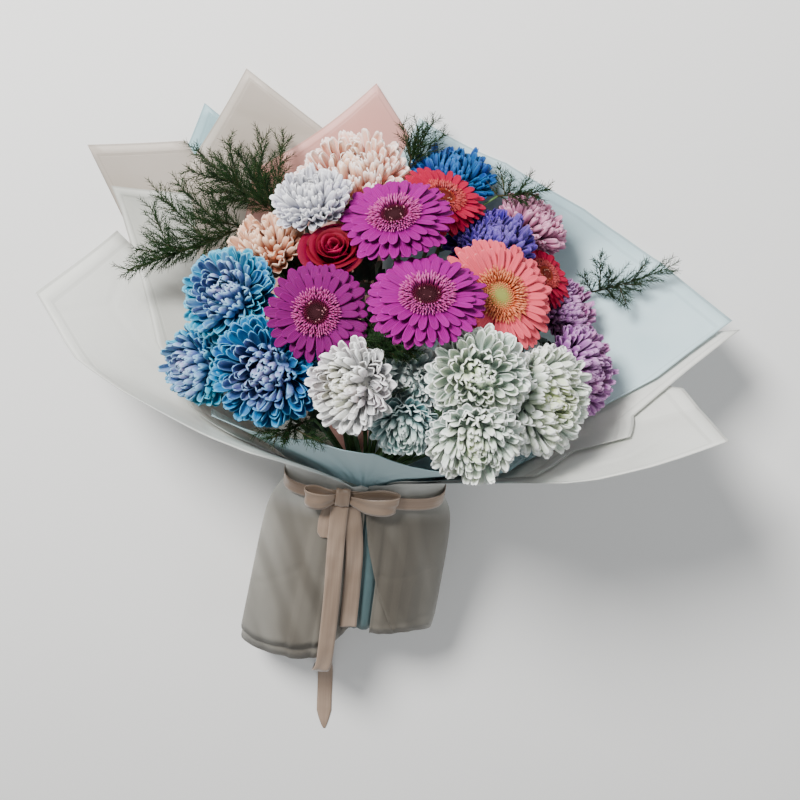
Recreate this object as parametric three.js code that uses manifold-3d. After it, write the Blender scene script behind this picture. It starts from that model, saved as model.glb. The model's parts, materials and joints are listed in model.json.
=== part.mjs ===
// A mixed flower bouquet laid on its back: gerberas, a rose and dyed chrysanthemums in a fan of
// folded paper sheets, tied with a satin ribbon. Millimetres, +Z up, the table top is z = 0.
import * as THREE from 'three';
import { mergeVertices } from 'three/addons/utils/BufferGeometryUtils.js';
import Module from 'manifold-3d';

const wasm = await Module();
wasm.setup();

// ---- Driving dimensions, mm and degrees ------------------------------------------------------
const LIE_TILT = 15; // the bunch's axis climbs this much from the handle to the flowers
const FRONT_PITCH = 25; // the front of the bunch leans back this much from straight up
const FRONT_TURN = 7; // and is turned this much to its right
const BINDING_HEIGHT = 118; // the binding point above the table
const WAIST_HALF_WIDTH = 80; // gathered papers at the binding
const WAIST_HALF_DEPTH = 21; // the stems and their tie just fit in it
const WAIST_HALF_LENGTH = 10;
const OPENING = 1.7; // how sharply the sheets open above the ribbon
const PAPER = 0.7; // thickness of a sheet
const LAYER_STEP = 2.3; // from one sheet to the next in the gathered waist
const LAYER_SPREAD = 1.1; // degrees that each outer sheet opens more than the one inside it
const FLOOR_STEP = 1.4; // from one sheet to the next where they lie on the table
const COLUMN_STEP = 20; // degrees between the folds that the sheets share
const SKIRT_FLARE = 14; // how far the sheets open below the ribbon, to each side
const BACK_SAG = 16; // how far their ends sag behind the stems, down to the table
const STEM_RADIUS = 2.3;
const STEM_PITCH = 4.8; // between stems at the binding
const STEM_BELOW = 190; // from the binding to the cut ends
const RIBBON_WIDTH = 24;
const RIBBON_THICK = 0.8;
const GAP = 0.3; // between two pieces that touch

// Half-angle of the paper cone round the bunch: 0 is its front, 90 its right and 180 its back.
const CONE = [
  [-180, 38], [-150, 46], [-120, 55.8], [-90, 62.6], [-60, 51.4], [-30, 41], [0, 39],
  [30, 47], [60, 56.4], [90, 62.6], [120, 55.8], [150, 46], [180, 38],
];

// ---- Frames ----------------------------------------------------------------------------------
const rad = THREE.MathUtils.degToRad;
const v3 = (x, y, z) => new THREE.Vector3(x, y, z);
const BINDING = v3(0, 0, BINDING_HEIGHT);
const AXIS = v3(0, Math.cos(rad(LIE_TILT)), Math.sin(rad(LIE_TILT)));
const FRONT = v3(0, -Math.sin(rad(LIE_TILT)), Math.cos(rad(LIE_TILT)));
const SIDE = v3(1, 0, 0);
// The facing frame: right, up and out of the bunch as it is looked at from its front.
const FACE = new THREE.Matrix4()
  .makeRotationZ(rad(FRONT_TURN))
  .multiply(new THREE.Matrix4().makeRotationX(rad(-FRONT_PITCH)));
const faceDir = (right, up, out) => v3(right, up, out).applyMatrix4(FACE);
const facePoint = (right, up, out) => faceDir(right, up, out).add(BINDING);
// A bloom's own direction: turned to the right and up from straight out.
const facing = ([turn, lift]) => faceDir(
  Math.sin(rad(turn)) * Math.cos(rad(lift)),
  Math.sin(rad(lift)),
  Math.cos(rad(turn)) * Math.cos(rad(lift)),
);

// A repeatable draw between 0 and 1.
function draws(seed) {
  let state = seed >>> 0;
  return () => {
    state = (Math.imul(state, 1664525) + 1013904223) >>> 0;
    return state / 4294967296;
  };
}

// ---- Solids ----------------------------------------------------------------------------------
function closedGeometry(points, faces) {
  const geometry = new THREE.BufferGeometry();
  const places = points.flatMap((p) => [p.x, p.y, p.z]);
  geometry.setAttribute('position', new THREE.Float32BufferAttribute(places, 3));
  geometry.setIndex(faces.flat());
  return geometry;
}

function toSolid(geometry) {
  const bare = geometry.clone();
  for (const name of ['normal', 'uv']) bare.deleteAttribute(name);
  const merged = mergeVertices(bare, 1e-4);
  return new wasm.Manifold(new wasm.Mesh({
    numProp: 3,
    vertProperties: merged.attributes.position.array,
    triVerts: new Uint32Array(merged.index.array),
  }));
}

function fromSolid(solid) {
  const mesh = solid.getMesh();
  const geometry = new THREE.BufferGeometry();
  const places = [];
  for (let i = 0; i < mesh.vertProperties.length; i += mesh.numProp) {
    places.push(mesh.vertProperties[i], mesh.vertProperties[i + 1], mesh.vertProperties[i + 2]);
  }
  geometry.setAttribute('position', new THREE.Float32BufferAttribute(places, 3));
  geometry.setIndex([...mesh.triVerts]);
  return geometry;
}

// A closed skin over rings of points, each ring the same length, with a fan at both ends.
function ringSkin(rings, first, last) {
  const points = [];
  const faces = [];
  const count = rings[0].length;
  for (const ring of rings) points.push(...ring);
  const lastRing = (rings.length - 1) * count;
  const a = points.push(first) - 1;
  const b = points.push(last) - 1;
  for (let r = 0; r + 1 < rings.length; r += 1) {
    for (let i = 0; i < count; i += 1) {
      const j = (i + 1) % count;
      const k = r * count;
      faces.push([k + i, k + j, k + count + j], [k + i, k + count + j, k + count + i]);
    }
  }
  for (let i = 0; i < count; i += 1) {
    const j = (i + 1) % count;
    faces.push([a, j, i], [b, lastRing + i, lastRing + j]);
  }
  return closedGeometry(points, faces);
}

// ---- Blooms: where they stand -------------------------------------------------------------------
// at: right, up, out from the binding point; across: the bloom's breadth; face: turn and lift.
const GERBERA = 'gerbera';
const MUM = 'chrysanthemum';
const ROSE = 'rose';
const BLOOMS = [
  { name: 'gerbera_magenta_top', kind: GERBERA, at: [33, 256, 173], across: 112, face: [-10, 40],
    colour: 0xc21fb0, heart: 0x3a0f1c },
  { name: 'gerbera_magenta_middle', kind: GERBERA, at: [62, 177, 223], across: 114, face: [0, 38],
    colour: 0xc21fb0, heart: 0x3a0f1c },
  { name: 'gerbera_magenta_left', kind: GERBERA, at: [-37, 163, 227], across: 97, face: [-4, 8],
    colour: 0xb01aa0, heart: 0x35101a },
  { name: 'gerbera_salmon', kind: GERBERA, at: [130, 182, 173], across: 120, face: [24, 14],
    colour: 0xee7f78, heart: 0xb9a24a },
  { name: 'gerbera_red_top', kind: GERBERA, at: [80, 283, 108], across: 95, face: [20, 38],
    colour: 0xd8303f, heart: 0x7a2a22 },
  { name: 'gerbera_red_right', kind: GERBERA, at: [181, 210, 84], across: 72, face: [38, 24],
    colour: 0xe05a52, heart: 0x8a4a2c },
  { name: 'rose_red', kind: ROSE, at: [-23, 224, 168], across: 68, face: [-8, 30],
    colour: 0xb3172b },
  { name: 'chrysanthemum_peach_top', kind: MUM, at: [-5, 302, 91], across: 120, face: [-4, 40],
    colour: 0xf3cfc0 },
  { name: 'chrysanthemum_peach_left', kind: MUM, at: [-93, 233, 116], across: 84, face: [-30, 42],
    colour: 0xe6a988 },
  { name: 'chrysanthemum_grey_upper', kind: MUM, at: [-46, 273, 154], across: 78, face: [-14, 45],
    colour: 0xc9c9d6 },
  { name: 'chrysanthemum_blue_upper', kind: MUM, at: [-124, 185, 160], across: 93, face: [-18, 12],
    colour: 0x4aa3cf },
  { name: 'chrysanthemum_blue_lower', kind: MUM, at: [-83, 112, 203], across: 104, face: [-14, -8],
    colour: 0x3d8fc6 },
  { name: 'chrysanthemum_blue_left', kind: MUM, at: [-160, 119, 111], across: 84, face: [-42, -8],
    colour: 0x3584c0 },
  { name: 'chrysanthemum_white_left', kind: MUM, at: [-5, 99, 240], across: 88, face: [-34, -8],
    stemFrom: [-0.25, 0, -1],
    colour: 0xd7d6d8 },
  { name: 'chrysanthemum_white_middle', kind: MUM, at: [43, 102, 196], across: 80, face: [0, -10],
    colour: 0xcbd8d6 },
  { name: 'chrysanthemum_mint_low', kind: MUM, at: [41, 63, 208], across: 66, face: [-6, -45], colour: 0x9fc9c4,
    stemFrom: [-0.1, -0.02, -1] },
  { name: 'chrysanthemum_cream_middle', kind: MUM, at: [107, 106, 224], across: 94, face: [2, -4],
    colour: 0xdfe2d6 },
  { name: 'chrysanthemum_cream_right', kind: MUM, at: [167, 88, 165], across: 110, face: [40, -6],
    colour: 0xdfe4da },
  { name: 'chrysanthemum_cream_low', kind: MUM, at: [105, 50, 222], across: 87, face: [4, -40], colour: 0xd9e2da,
    stemFrom: [-0.3, 0, -1] },
  { name: 'chrysanthemum_lilac_low', kind: MUM, at: [212, 115, 105], across: 91, face: [54, 0],
    colour: 0xa57fb4 },
  { name: 'chrysanthemum_lilac_upper', kind: MUM, at: [204, 176, 52], across: 78, face: [50, 20],
    colour: 0xb083b4 },
  { name: 'chrysanthemum_violet', kind: MUM, at: [125, 239, 112], across: 94, face: [22, 42],
    colour: 0x6a62bb },
  { name: 'chrysanthemum_blue_top', kind: MUM, at: [90, 311, 58], across: 90, face: [14, 60], colour: 0x2f5fae,
    stemFrom: [0, -0.7, -0.7] },
  { name: 'chrysanthemum_pink_right', kind: MUM, at: [171, 262, 55], across: 80, face: [44, 38],
    colour: 0xc48aa6 },
];
const HALF_DEPTH = { [GERBERA]: 0.2, [MUM]: 0.6, [ROSE]: 0.7 }; // of a bloom, as part of its radius
// How far below its centre a bloom meets its stem, as part of its radius.
const FOOT = { [GERBERA]: () => 13, [MUM]: (radius) => 0.42 * radius, [ROSE]: (radius) => 0.7 * radius };
const footDepth = (bloom) => FOOT[bloom.kind](bloom.radius);
BLOOMS.forEach((bloom, i) => {
  bloom.radius = bloom.across / 2;
  bloom.centre = facePoint(...bloom.at);
  bloom.normal = facing(bloom.face).normalize();
  bloom.depth = bloom.radius * HALF_DEPTH[bloom.kind];
  bloom.seed = 11 + 7 * i;
  bloom.walls = [];
  bloom.stemWay = bloom.stemFrom ? faceDir(...bloom.stemFrom).normalize() : bloom.normal.clone().negate();
  bloom.foot = bloom.centre.clone().addScaledVector(bloom.stemWay, footDepth(bloom));
});

// How far a bloom's envelope reaches from its centre along a direction.
function reachAlong(bloom, way) {
  const along = way.dot(bloom.normal);
  const across = Math.sqrt(Math.max(0, 1 - along * along));
  return Math.hypot(bloom.radius * across, bloom.depth * along);
}

// Two blooms that crowd each other get a wall between them in their overlap. The firmer one
// gives way less.
const GIVE = { [GERBERA]: 0.3, [MUM]: 1, [ROSE]: 0.6 };
function wallBetween(a, b) {
  const straight = b.centre.clone().sub(a.centre).normalize();
  const turnA = v3(0, 0, 1).cross(straight).normalize();
  const turnB = straight.clone().cross(turnA);
  let best = null;
  for (let i = -8; i <= 8; i += 1) {
    for (let j = -8; j <= 8; j += 1) {
      const way = straight.clone()
        .addScaledVector(turnA, i * 0.12)
        .addScaledVector(turnB, j * 0.12)
        .normalize();
      const from = a.centre.dot(way) + reachAlong(a, way);
      const to = b.centre.dot(way) - reachAlong(b, way);
      if (best && to - from <= best.room) continue;
      const share = GIVE[a.kind] / (GIVE[a.kind] + GIVE[b.kind]);
      best = { way, room: to - from, at: from + (to - from) * share };
    }
  }
  return best;
}
for (let i = 0; i < BLOOMS.length; i += 1) {
  for (let j = i + 1; j < BLOOMS.length; j += 1) {
    const wall = wallBetween(BLOOMS[i], BLOOMS[j]);
    if (wall.room > 8) continue;
    BLOOMS[i].walls.push({ way: wall.way, at: wall.at - GAP });
    BLOOMS[j].walls.push({ way: wall.way.clone().negate(), at: -wall.at - GAP });
  }
}

// ---- Paper: the family of sheets -----------------------------------------------------------------
// top: azimuth and distance along the axis of each corner of the rim; tail: the same below the tie.
const WHITE = 0xe9ebe6;
const MINT = 0xc3dedd;
const SHEETS = [
  { name: 'sheet_mint_front', layer: 0, colour: MINT,
    top: [[-88, 82], [-68, 124], [-45, 140], [-20, 136], [3, 140], [24, 132], [45, 136], [80, 92]],
    tail: [[-88, 150], [-60, 205], [60, 205], [80, 150]] },
  { name: 'sheet_mint_right', layer: 1, colour: MINT,
    top: [[72, 92], [83, 90], [93, 104], [97, 155], [102, 208], [118, 219], [137, 244], [156, 276],
      [177, 312], [183, 252]],
    tail: [[72, 200], [183, 200]] },
  { name: 'sheet_pink_back', layer: 2, colour: 0xe9cfc9,
    top: [[174, 268], [187, 334], [214, 242], [232, 150]],
    tail: [[174, 215], [232, 215]] },
  { name: 'sheet_white_low_right', layer: 2, colour: WHITE,
    top: [[40, 40], [60, 116], [80, 105], [82.5, 130], [91, 126], [101, 201], [112, 150]],
    tail: [[40, 210], [112, 210]] },
  { name: 'sheet_white_back', layer: 3, colour: 0xece7e2,
    top: [[188, 262], [208, 325], [225, 236], [246, 124]],
    tail: [[188, 230], [246, 230]] },
  { name: 'sheet_white_right', layer: 3, colour: WHITE,
    top: [[8, 14], [55, 144], [67, 161], [76, 180], [95, 151], [110, 120]],
    tail: [[8, 16], [60, 205], [84, 214], [90, 186], [110, 180]] },
  { name: 'sheet_white_left_inner', layer: 4, colour: 0xe3e6e0,
    top: [[218, 212], [238.5, 216], [258, 117], [270, 78], [285, 74], [340, 14]],
    tail: [[218, 236], [246, 284], [300, 262], [340, 243]] },
  { name: 'sheet_mint_tip', layer: 7, colour: 0xc9dcd8,
    top: [[200, 215], [213, 281], [232, 186]],
    tail: [[200, 231], [232, 226]] },
  { name: 'sheet_white_left_front', layer: 5, colour: WHITE,
    top: [[243, 182], [262, 162], [279, 120], [306, 98], [368, 14]],
    tail: [[243, 262], [282, 254], [320, 232], [350, 218], [368, 196]] },
  { name: 'sheet_white_left_outer', layer: 6, colour: 0xe6e2da,
    top: [[219.5, 251], [233.5, 242], [250, 130]],
    tail: [[219.5, 242], [250, 240]] },
];
SHEETS.forEach((sheet) => {
  sheet.from = sheet.top[0][0];
  sheet.to = sheet.top[sheet.top.length - 1][0];
});

const signedTurn = (a) => ((a + 180) % 360 + 360) % 360 - 180;
function lerpTable(table, x) {
  let i = 0;
  while (i + 2 < table.length && x > table[i + 1][0]) i += 1;
  const [x0, y0] = table[i];
  const [x1, y1] = table[i + 1];
  return y0 + (y1 - y0) * THREE.MathUtils.clamp((x - x0) / (x1 - x0), 0, 1);
}
const coneAngle = (azimuth) => lerpTable(CONE, signedTurn(azimuth));

// How many sheets with a layer that passes the test cross this fold.
function sheetsAt(azimuth, test) {
  return SHEETS.filter((s) => test(s.layer) && [-360, 0, 360].some((whole) => (
    azimuth + whole > s.from - COLUMN_STEP && azimuth + whole < s.to + COLUMN_STEP
  ))).length;
}

// Distance of a layer from the axis, on one fold, at a distance along the axis.
function layerRadius(fold, along, layer) {
  const out = LAYER_STEP * sheetsAt(fold, (l) => l < layer);
  const a = WAIST_HALF_WIDTH + out;
  const b = WAIST_HALF_DEPTH + out;
  const waist = (a * b) / Math.hypot(b * Math.sin(rad(fold)), a * Math.cos(rad(fold)));
  if (along >= 0) {
    const slope = Math.tan(rad(coneAngle(fold) + LAYER_SPREAD * layer));
    const open = Math.max(0, along - WAIST_HALF_LENGTH) * slope;
    return (waist ** OPENING + open ** OPENING) ** (1 / OPENING);
  }
  const below = Math.max(0, -along - WAIST_HALF_LENGTH);
  const flare = SKIRT_FLARE * (1 - Math.exp(-below / 20)) * Math.abs(Math.sin(rad(fold)));
  const sag = (BACK_SAG * Math.max(0, -Math.cos(rad(fold))) * Math.max(0, below - 48)) / 262;
  return waist + flare + sag + below * (0.05 - 0.04 * Math.sin(rad(fold)));
}

const ROWS = [-320, -58, -30, -10, 10, 24, 50, 90, 150, 240, 420];
function foldPoint(fold, along, layer) {
  const r = layerRadius(fold, along, layer);
  return BINDING.clone()
    .addScaledVector(AXIS, along)
    .addScaledVector(SIDE, r * Math.sin(rad(fold)))
    .addScaledVector(FRONT, r * Math.cos(rad(fold)));
}
// The sheets run straight between the shared folds and rows, so no two of them cross.
function layerPoint(azimuth, along, layer) {
  const fold = Math.floor(azimuth / COLUMN_STEP) * COLUMN_STEP;
  const s = (azimuth - fold) / COLUMN_STEP;
  let i = 0;
  while (i + 2 < ROWS.length && along > ROWS[i + 1]) i += 1;
  const t = (along - ROWS[i]) / (ROWS[i + 1] - ROWS[i]);
  const inRow = (row) => foldPoint(fold, row, layer).lerp(foldPoint(fold + COLUMN_STEP, row, layer), s);
  return inRow(ROWS[i]).lerp(inRow(ROWS[i + 1]), t);
}
function floorLevel(azimuth, layer) {
  const fold = Math.floor(azimuth / COLUMN_STEP) * COLUMN_STEP;
  const s = (azimuth - fold) / COLUMN_STEP;
  const count = (f) => sheetsAt(f, (l) => l > layer);
  return FLOOR_STEP * (count(fold) * (1 - s) + count(fold + COLUMN_STEP) * s);
}

// The rim runs straight from corner to corner in the sheet laid flat.
function rimAt(corners, azimuth) {
  let i = 0;
  while (i + 2 < corners.length && azimuth > corners[i + 1][0]) i += 1;
  const [a0, w0] = corners[i];
  const [a1, w1] = corners[i + 1];
  const s0 = w0 / Math.cos(rad(coneAngle(a0)));
  const s1 = w1 / Math.cos(rad(coneAngle(a1)));
  const turn = (a) => rad(a * 0.85);
  const inverse = Math.sin(turn(a1 - azimuth)) / s0 + Math.sin(turn(azimuth - a0)) / s1;
  return (Math.cos(rad(coneAngle(azimuth))) * Math.sin(turn(a1 - a0))) / inverse;
}

function sheetColumns(sheet) {
  const columns = [...sheet.top, ...sheet.tail].map((c) => c[0]);
  for (let a = Math.ceil(sheet.from / COLUMN_STEP) * COLUMN_STEP; a < sheet.to; a += COLUMN_STEP) {
    if (!columns.some((c) => Math.abs(c - a) < 1)) columns.push(a);
  }
  columns.sort((p, q) => p - q);
  return columns.filter((c, i) => i === 0 || c - columns[i - 1] > 0.5);
}

// Where a column of the sheet comes down to its level on the table.
function touchdown(azimuth, layer, level, reach) {
  let low = 90;
  let high = reach;
  if (layerPoint(azimuth, high, layer).z > level) return null;
  for (let i = 0; i < 30; i += 1) {
    const mid = (low + high) / 2;
    if (layerPoint(azimuth, mid, layer).z > level) low = mid;
    else high = mid;
  }
  return (low + high) / 2;
}

function columnRows(azimuth, sheet) {
  const reach = rimAt(sheet.top, azimuth);
  const below = lerpTable(sheet.tail, azimuth);
  const level = floorLevel(azimuth, sheet.layer);
  const up = [10, 24, 50, 90];
  const down = [10, 30, 58];
  let rows;
  if (reach > 104) {
    const lands = touchdown(azimuth, sheet.layer, level, reach);
    const middle = lands && lands < reach - 12 ? lands : (90 + reach) / 2;
    rows = [...up, middle, reach];
  } else if (reach > 62) {
    rows = [10, 24, 50, 50 + (reach - 50) / 3, reach - (reach - 50) / 3, reach];
  } else {
    const squeeze = (reach - 10) / 110;
    rows = [...up, 105, 120].map((w) => 10 + (w - 10) * squeeze);
  }
  const short = below > 75 ? null : (below - 10) / 70;
  const tail = short === null ? [...down, below] : [...down, 80].map((w) => 10 + (w - 10) * short);
  return [...tail.reverse().map((w) => -w), ...rows];
}

function paperSheet(sheet) {
  const columns = sheetColumns(sheet);
  const grid = columns.map((azimuth) => columnRows(azimuth, sheet).map((along) => {
    const point = layerPoint(azimuth, along, sheet.layer);
    const level = floorLevel(azimuth, sheet.layer);
    const landed = point.z < level + PAPER / 2;
    if (landed) point.z = level + PAPER / 2;
    return { point, level, landed };
  }));
  const rows = grid[0].length;
  const kept = (i, count) => Math.min(Math.max(i, 0), count - 1);
  const at = (c, r) => grid[kept(c, columns.length)][kept(r, rows)].point;
  const inner = [];
  const outer = [];
  for (let c = 0; c < columns.length; c += 1) {
    for (let r = 0; r < rows; r += 1) {
      const cell = grid[c][r];
      const across = at(c + 1, r).clone().sub(at(c - 1, r));
      const along = at(c, r + 1).clone().sub(at(c, r - 1));
      const outward = across.cross(along).normalize();
      if (cell.landed) outward.set(0, 0, -1);
      outer.push(cell.point.clone().addScaledVector(outward, PAPER / 2));
      inner.push(cell.point.clone().addScaledVector(outward, -PAPER / 2));
      if (cell.landed) outer[outer.length - 1].z = Number(cell.level.toFixed(4));
      else outer[outer.length - 1].z = Math.max(outer[outer.length - 1].z, cell.level);
    }
  }
  const points = [...outer, ...inner];
  const shift = outer.length;
  const faces = [];
  const quad = (a, b, c, d) => faces.push([a, b, c], [a, c, d]);
  const id = (c, r) => c * rows + r;
  for (let c = 0; c + 1 < columns.length; c += 1) {
    for (let r = 0; r + 1 < rows; r += 1) {
      quad(id(c, r), id(c + 1, r), id(c + 1, r + 1), id(c, r + 1));
      quad(shift + id(c, r), shift + id(c, r + 1), shift + id(c + 1, r + 1), shift + id(c + 1, r));
    }
    quad(id(c + 1, 0), id(c, 0), shift + id(c, 0), shift + id(c + 1, 0));
    quad(id(c, rows - 1), id(c + 1, rows - 1), shift + id(c + 1, rows - 1), shift + id(c, rows - 1));
  }
  const last = columns.length - 1;
  for (let r = 0; r + 1 < rows; r += 1) {
    quad(id(0, r), id(0, r + 1), shift + id(0, r + 1), shift + id(0, r));
    quad(id(last, r + 1), id(last, r), shift + id(last, r), shift + id(last, r + 1));
  }
  return closedGeometry(points, faces);
}

// ---- Fern: where it stands ----------------------------------------------------------------------------
// The fern is placed as it shows from the front: x and y on an 800 by 800 view, and how far out.
const EYE = [37.5, 85.6, 1400]; // in the facing frame
const FOCAL = 1308; // of the view, in its own pixels
function seen([x, y, out]) {
  const size = (EYE[2] - out) / FOCAL;
  return facePoint(EYE[0] + (x - 400) * size, EYE[1] + (400 - y) * size, out);
}
const FERN_CORE = 1.5; // radius at the foot of a branch
const NEEDLE = 18; // length
const WHORL_STEP = 15; // from one whorl of needles to the next
const FERNS = [
  { name: 'fern_left_high', foot: [276, 214, 68], tip: [196, 150, 72],
    arms: [[0.05, [284, 138, 66]], [0.2, [262, 138, 64]], [0.45, [228, 140, 68]], [0.55, [208, 174, 80]]] },
  { name: 'fern_left_low', foot: [246, 226, 66], tip: [127, 270, 86],
    arms: [[0.12, [178, 184, 60]], [0.3, [158, 192, 70]], [0.5, [146, 238, 78]]] },
  { name: 'fern_top_right', foot: [408, 172, 64], tip: [418, 126, 76],
    arms: [[0.25, [434, 120, 70]], [0.3, [402, 124, 78]]] },
  { name: 'fern_right_high', foot: [498, 196, 72], tip: [546, 190, 88],
    arms: [[0.15, [500, 168, 66]], [0.4, [530, 176, 70]]] },
  { name: 'fern_right', foot: [592, 292, 12], tip: [668, 268, 44],
    arms: [[0.1, [600, 256, 48]], [0.35, [626, 304, 52]], [0.5, [646, 262, 44]]] },
  { name: 'fern_middle', foot: [378, 352, 186], tip: [376, 320, 222],
    arms: [[0.4, [354, 326, 220]], [0.45, [400, 330, 218]]] },
  { name: 'fern_low', foot: [304, 422, 170], tip: [270, 438, 204], arms: [[0.3, [322, 442, 206]]] },
];
// ---- Stems: where they run ----------------------------------------------------------------------------
// Each stem has its own place in the bunch at the binding, in rings round a middle stem.
const slots = [[0, 0]];
for (let ring = 1; ring <= 3; ring += 1) {
  for (let i = 0; i < 6 * ring; i += 1) {
    const turn = (i * Math.PI) / (3 * ring);
    slots.push([ring * STEM_PITCH * Math.sin(turn), ring * STEM_PITCH * Math.cos(turn)]);
  }
}
function stemEnds() {
  const ends = BLOOMS.map((bloom) => ({
    bloom,
    neck: bloom.foot.clone().addScaledVector(bloom.stemWay, 24),
    top: bloom.foot.clone().addScaledVector(bloom.stemWay, bloom.stemFrom ? 3 * GAP : GAP),
  }));
  for (const spray of FERNS) {
    const foot = seen(spray.foot);
    const way = seen(spray.tip).sub(foot).normalize();
    const neck = foot.clone().addScaledVector(way, -14);
    const top = foot.clone().addScaledVector(way, -GAP);
    ends.push({ neck, top, slim: true });
  }
  for (const end of ends) {
    const from = end.neck.clone().sub(BINDING);
    end.aim = [from.dot(SIDE) / from.dot(AXIS), from.dot(FRONT) / from.dot(AXIS)];
  }
  ends.sort((a, b) => Math.hypot(...b.aim) - Math.hypot(...a.aim));
  const free = [...slots];
  for (const end of ends) {
    const wish = end.aim.map((m) => m * 14);
    free.sort((p, q) => Math.hypot(p[0] - wish[0], p[1] - wish[1]) - Math.hypot(q[0] - wish[0], q[1] - wish[1]));
    const [right, front] = free.shift();
    const at = (along, spread) => BINDING.clone().addScaledVector(AXIS, along)
      .addScaledVector(SIDE, right * spread).addScaledVector(FRONT, front * spread);
    end.path = [at(-STEM_BELOW, 1.3), at(-8, 1), at(8, 1), end.neck, end.top];
  }
  return ends;
}
const STEMS = stemEnds();
// How near a point comes to a stem other than the bloom's own.
function nearestStem(bloom, point) {
  let near = Infinity;
  const nearest = v3(0, 0, 0);
  for (const end of STEMS) {
    if (end.bloom === bloom) continue;
    for (let i = 2; i + 1 < end.path.length; i += 1) {
      new THREE.Line3(end.path[i], end.path[i + 1]).closestPointToPoint(point, true, nearest);
      near = Math.min(near, nearest.distanceTo(point));
    }
  }
  return near;
}


// ---- Room for flowers and leaves inside the paper --------------------------------------------------
const PAPER_ROOM = 4; // kept clear of the innermost sheet
function insidePaper(point) {
  const from = point.clone().sub(BINDING);
  const along = from.dot(AXIS);
  const right = from.dot(SIDE);
  const front = from.dot(FRONT);
  const azimuth = THREE.MathUtils.radToDeg(Math.atan2(right, front));
  const fold = Math.floor(azimuth / COLUMN_STEP) * COLUMN_STEP;
  if (point.z < 14) return false;
  if (Math.abs(signedTurn(azimuth)) < 100 && along > 140) return true;
  const limit = Math.min(layerRadius(fold, along, 0), layerRadius(fold + COLUMN_STEP, along, 0));
  return Math.hypot(right, front) < limit - PAPER_ROOM;
}

// Pulls a petal's point back towards its root until it is clear of neighbours and paper.
function held(bloom, root, point) {
  let part = 1;
  for (const wall of bloom.walls) {
    const over = point.dot(wall.way) - wall.at;
    if (over > 0) {
      const start = wall.at - root.dot(wall.way);
      const span = point.dot(wall.way) - root.dot(wall.way);
      part = Math.min(part, Math.max(0.02, start / span));
    }
  }
  if (bloom.kind === GERBERA) {
    for (let t = 0.3; t < part; t += 0.1) {
      if (nearestStem(bloom, root.clone().lerp(point, t)) < STEM_RADIUS + 5) part = Math.max(0.15, t - 0.12);
    }
  }
  const place = root.clone().lerp(point, part);
  for (let i = 0; i < 14 && !insidePaper(place); i += 1) {
    part *= 0.9;
    place.copy(root).lerp(point, part);
  }
  return place;
}

// ---- Chrysanthemum: scoops raised from a small dome, in staggered rows ------------------------------
const MUM_ROWS = [9, 27, 46, 66, 87, 108]; // degrees from the top of the dome
const MUM_ROUND = 10;
const MUM_DOME = 0.62; // of the bloom's radius
function localFrame(normal, spin) {
  const x = v3(0, 0, 1).cross(normal).normalize();
  const y = normal.clone().cross(x);
  return {
    x: x.clone().multiplyScalar(Math.cos(spin)).addScaledVector(y, Math.sin(spin)),
    y: y.clone().multiplyScalar(Math.cos(spin)).addScaledVector(x, -Math.sin(spin)),
    z: normal.clone(),
  };
}

function chrysanthemum(bloom) {
  const draw = draws(bloom.seed);
  const frame = localFrame(bloom.normal, draw() * 6);
  const place = (polar, turn, size) => bloom.centre.clone()
    .addScaledVector(frame.x, bloom.radius * size * Math.sin(rad(polar)) * Math.cos(turn))
    .addScaledVector(frame.y, bloom.radius * size * Math.sin(rad(polar)) * Math.sin(turn))
    .addScaledVector(frame.z, bloom.depth * size * Math.cos(rad(polar)));
  const step = (2 * Math.PI) / MUM_ROUND;
  const points = [];
  const faces = [];
  const ringStart = [];
  MUM_ROWS.forEach((polar, ring) => {
    ringStart.push(points.length);
    for (let i = 0; i < MUM_ROUND; i += 1) points.push(place(polar, (i + (ring % 2) / 2) * step, MUM_DOME));
  });
  const id = (ring, i) => ringStart[ring] + ((i % MUM_ROUND) + MUM_ROUND) % MUM_ROUND;
  // A scoop stands on the diamond of four dome points: top, left, right and bottom.
  const scoop = (top, left, right, bottom, polar, turn) => {
    const root = points[top].clone().add(points[bottom]).multiplyScalar(0.5);
    const long = 0.94 + 0.12 * draw();
    const lean = polar * 0.94 - 3 + 6 * draw();
    const half = 0.36 * step * (0.7 + 0.3 * Math.sin(rad(Math.min(polar, 90)))) ;
    const p = points.push(held(bloom, root, place(lean, turn - half, long))) - 1;
    const q = points.push(held(bloom, root, place(lean, turn + half, long))) - 1;
    faces.push([bottom, right, q], [bottom, q, p], [bottom, p, left]);
    faces.push([top, left, p], [top, p, q], [top, q, right]);
  };
  for (let ring = 1; ring + 1 < MUM_ROWS.length; ring += 1) {
    for (let i = 0; i < MUM_ROUND; i += 1) {
      const shift = ring % 2;
      const above = id(ring - 1, i + shift);
      const below = id(ring + 1, i + shift);
      scoop(above, id(ring, i), id(ring, i + 1), below, MUM_ROWS[ring], (i + 0.5 + shift / 2) * step);
    }
  }
  // The heart closes the dome above its first row, and a short cone closes it underneath.
  const crown = points.push(place(0, 0, 0.8)) - 1;
  const foot = points.push(bloom.foot.clone()) - 1;
  const lastRing = MUM_ROWS.length - 1;
  for (let i = 0; i < MUM_ROUND; i += 1) {
    faces.push([crown, id(0, i), id(0, i + 1)]);
    faces.push([id(0, i), id(1, i), id(0, i + 1)]);
    const shift = lastRing % 2;
    faces.push([foot, id(lastRing, i + 1), id(lastRing, i)]);
    faces.push([id(lastRing, i), id(lastRing, i + 1), id(lastRing - 1, i + shift)]);
  }
  return closedGeometry(points, faces);
}

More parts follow.
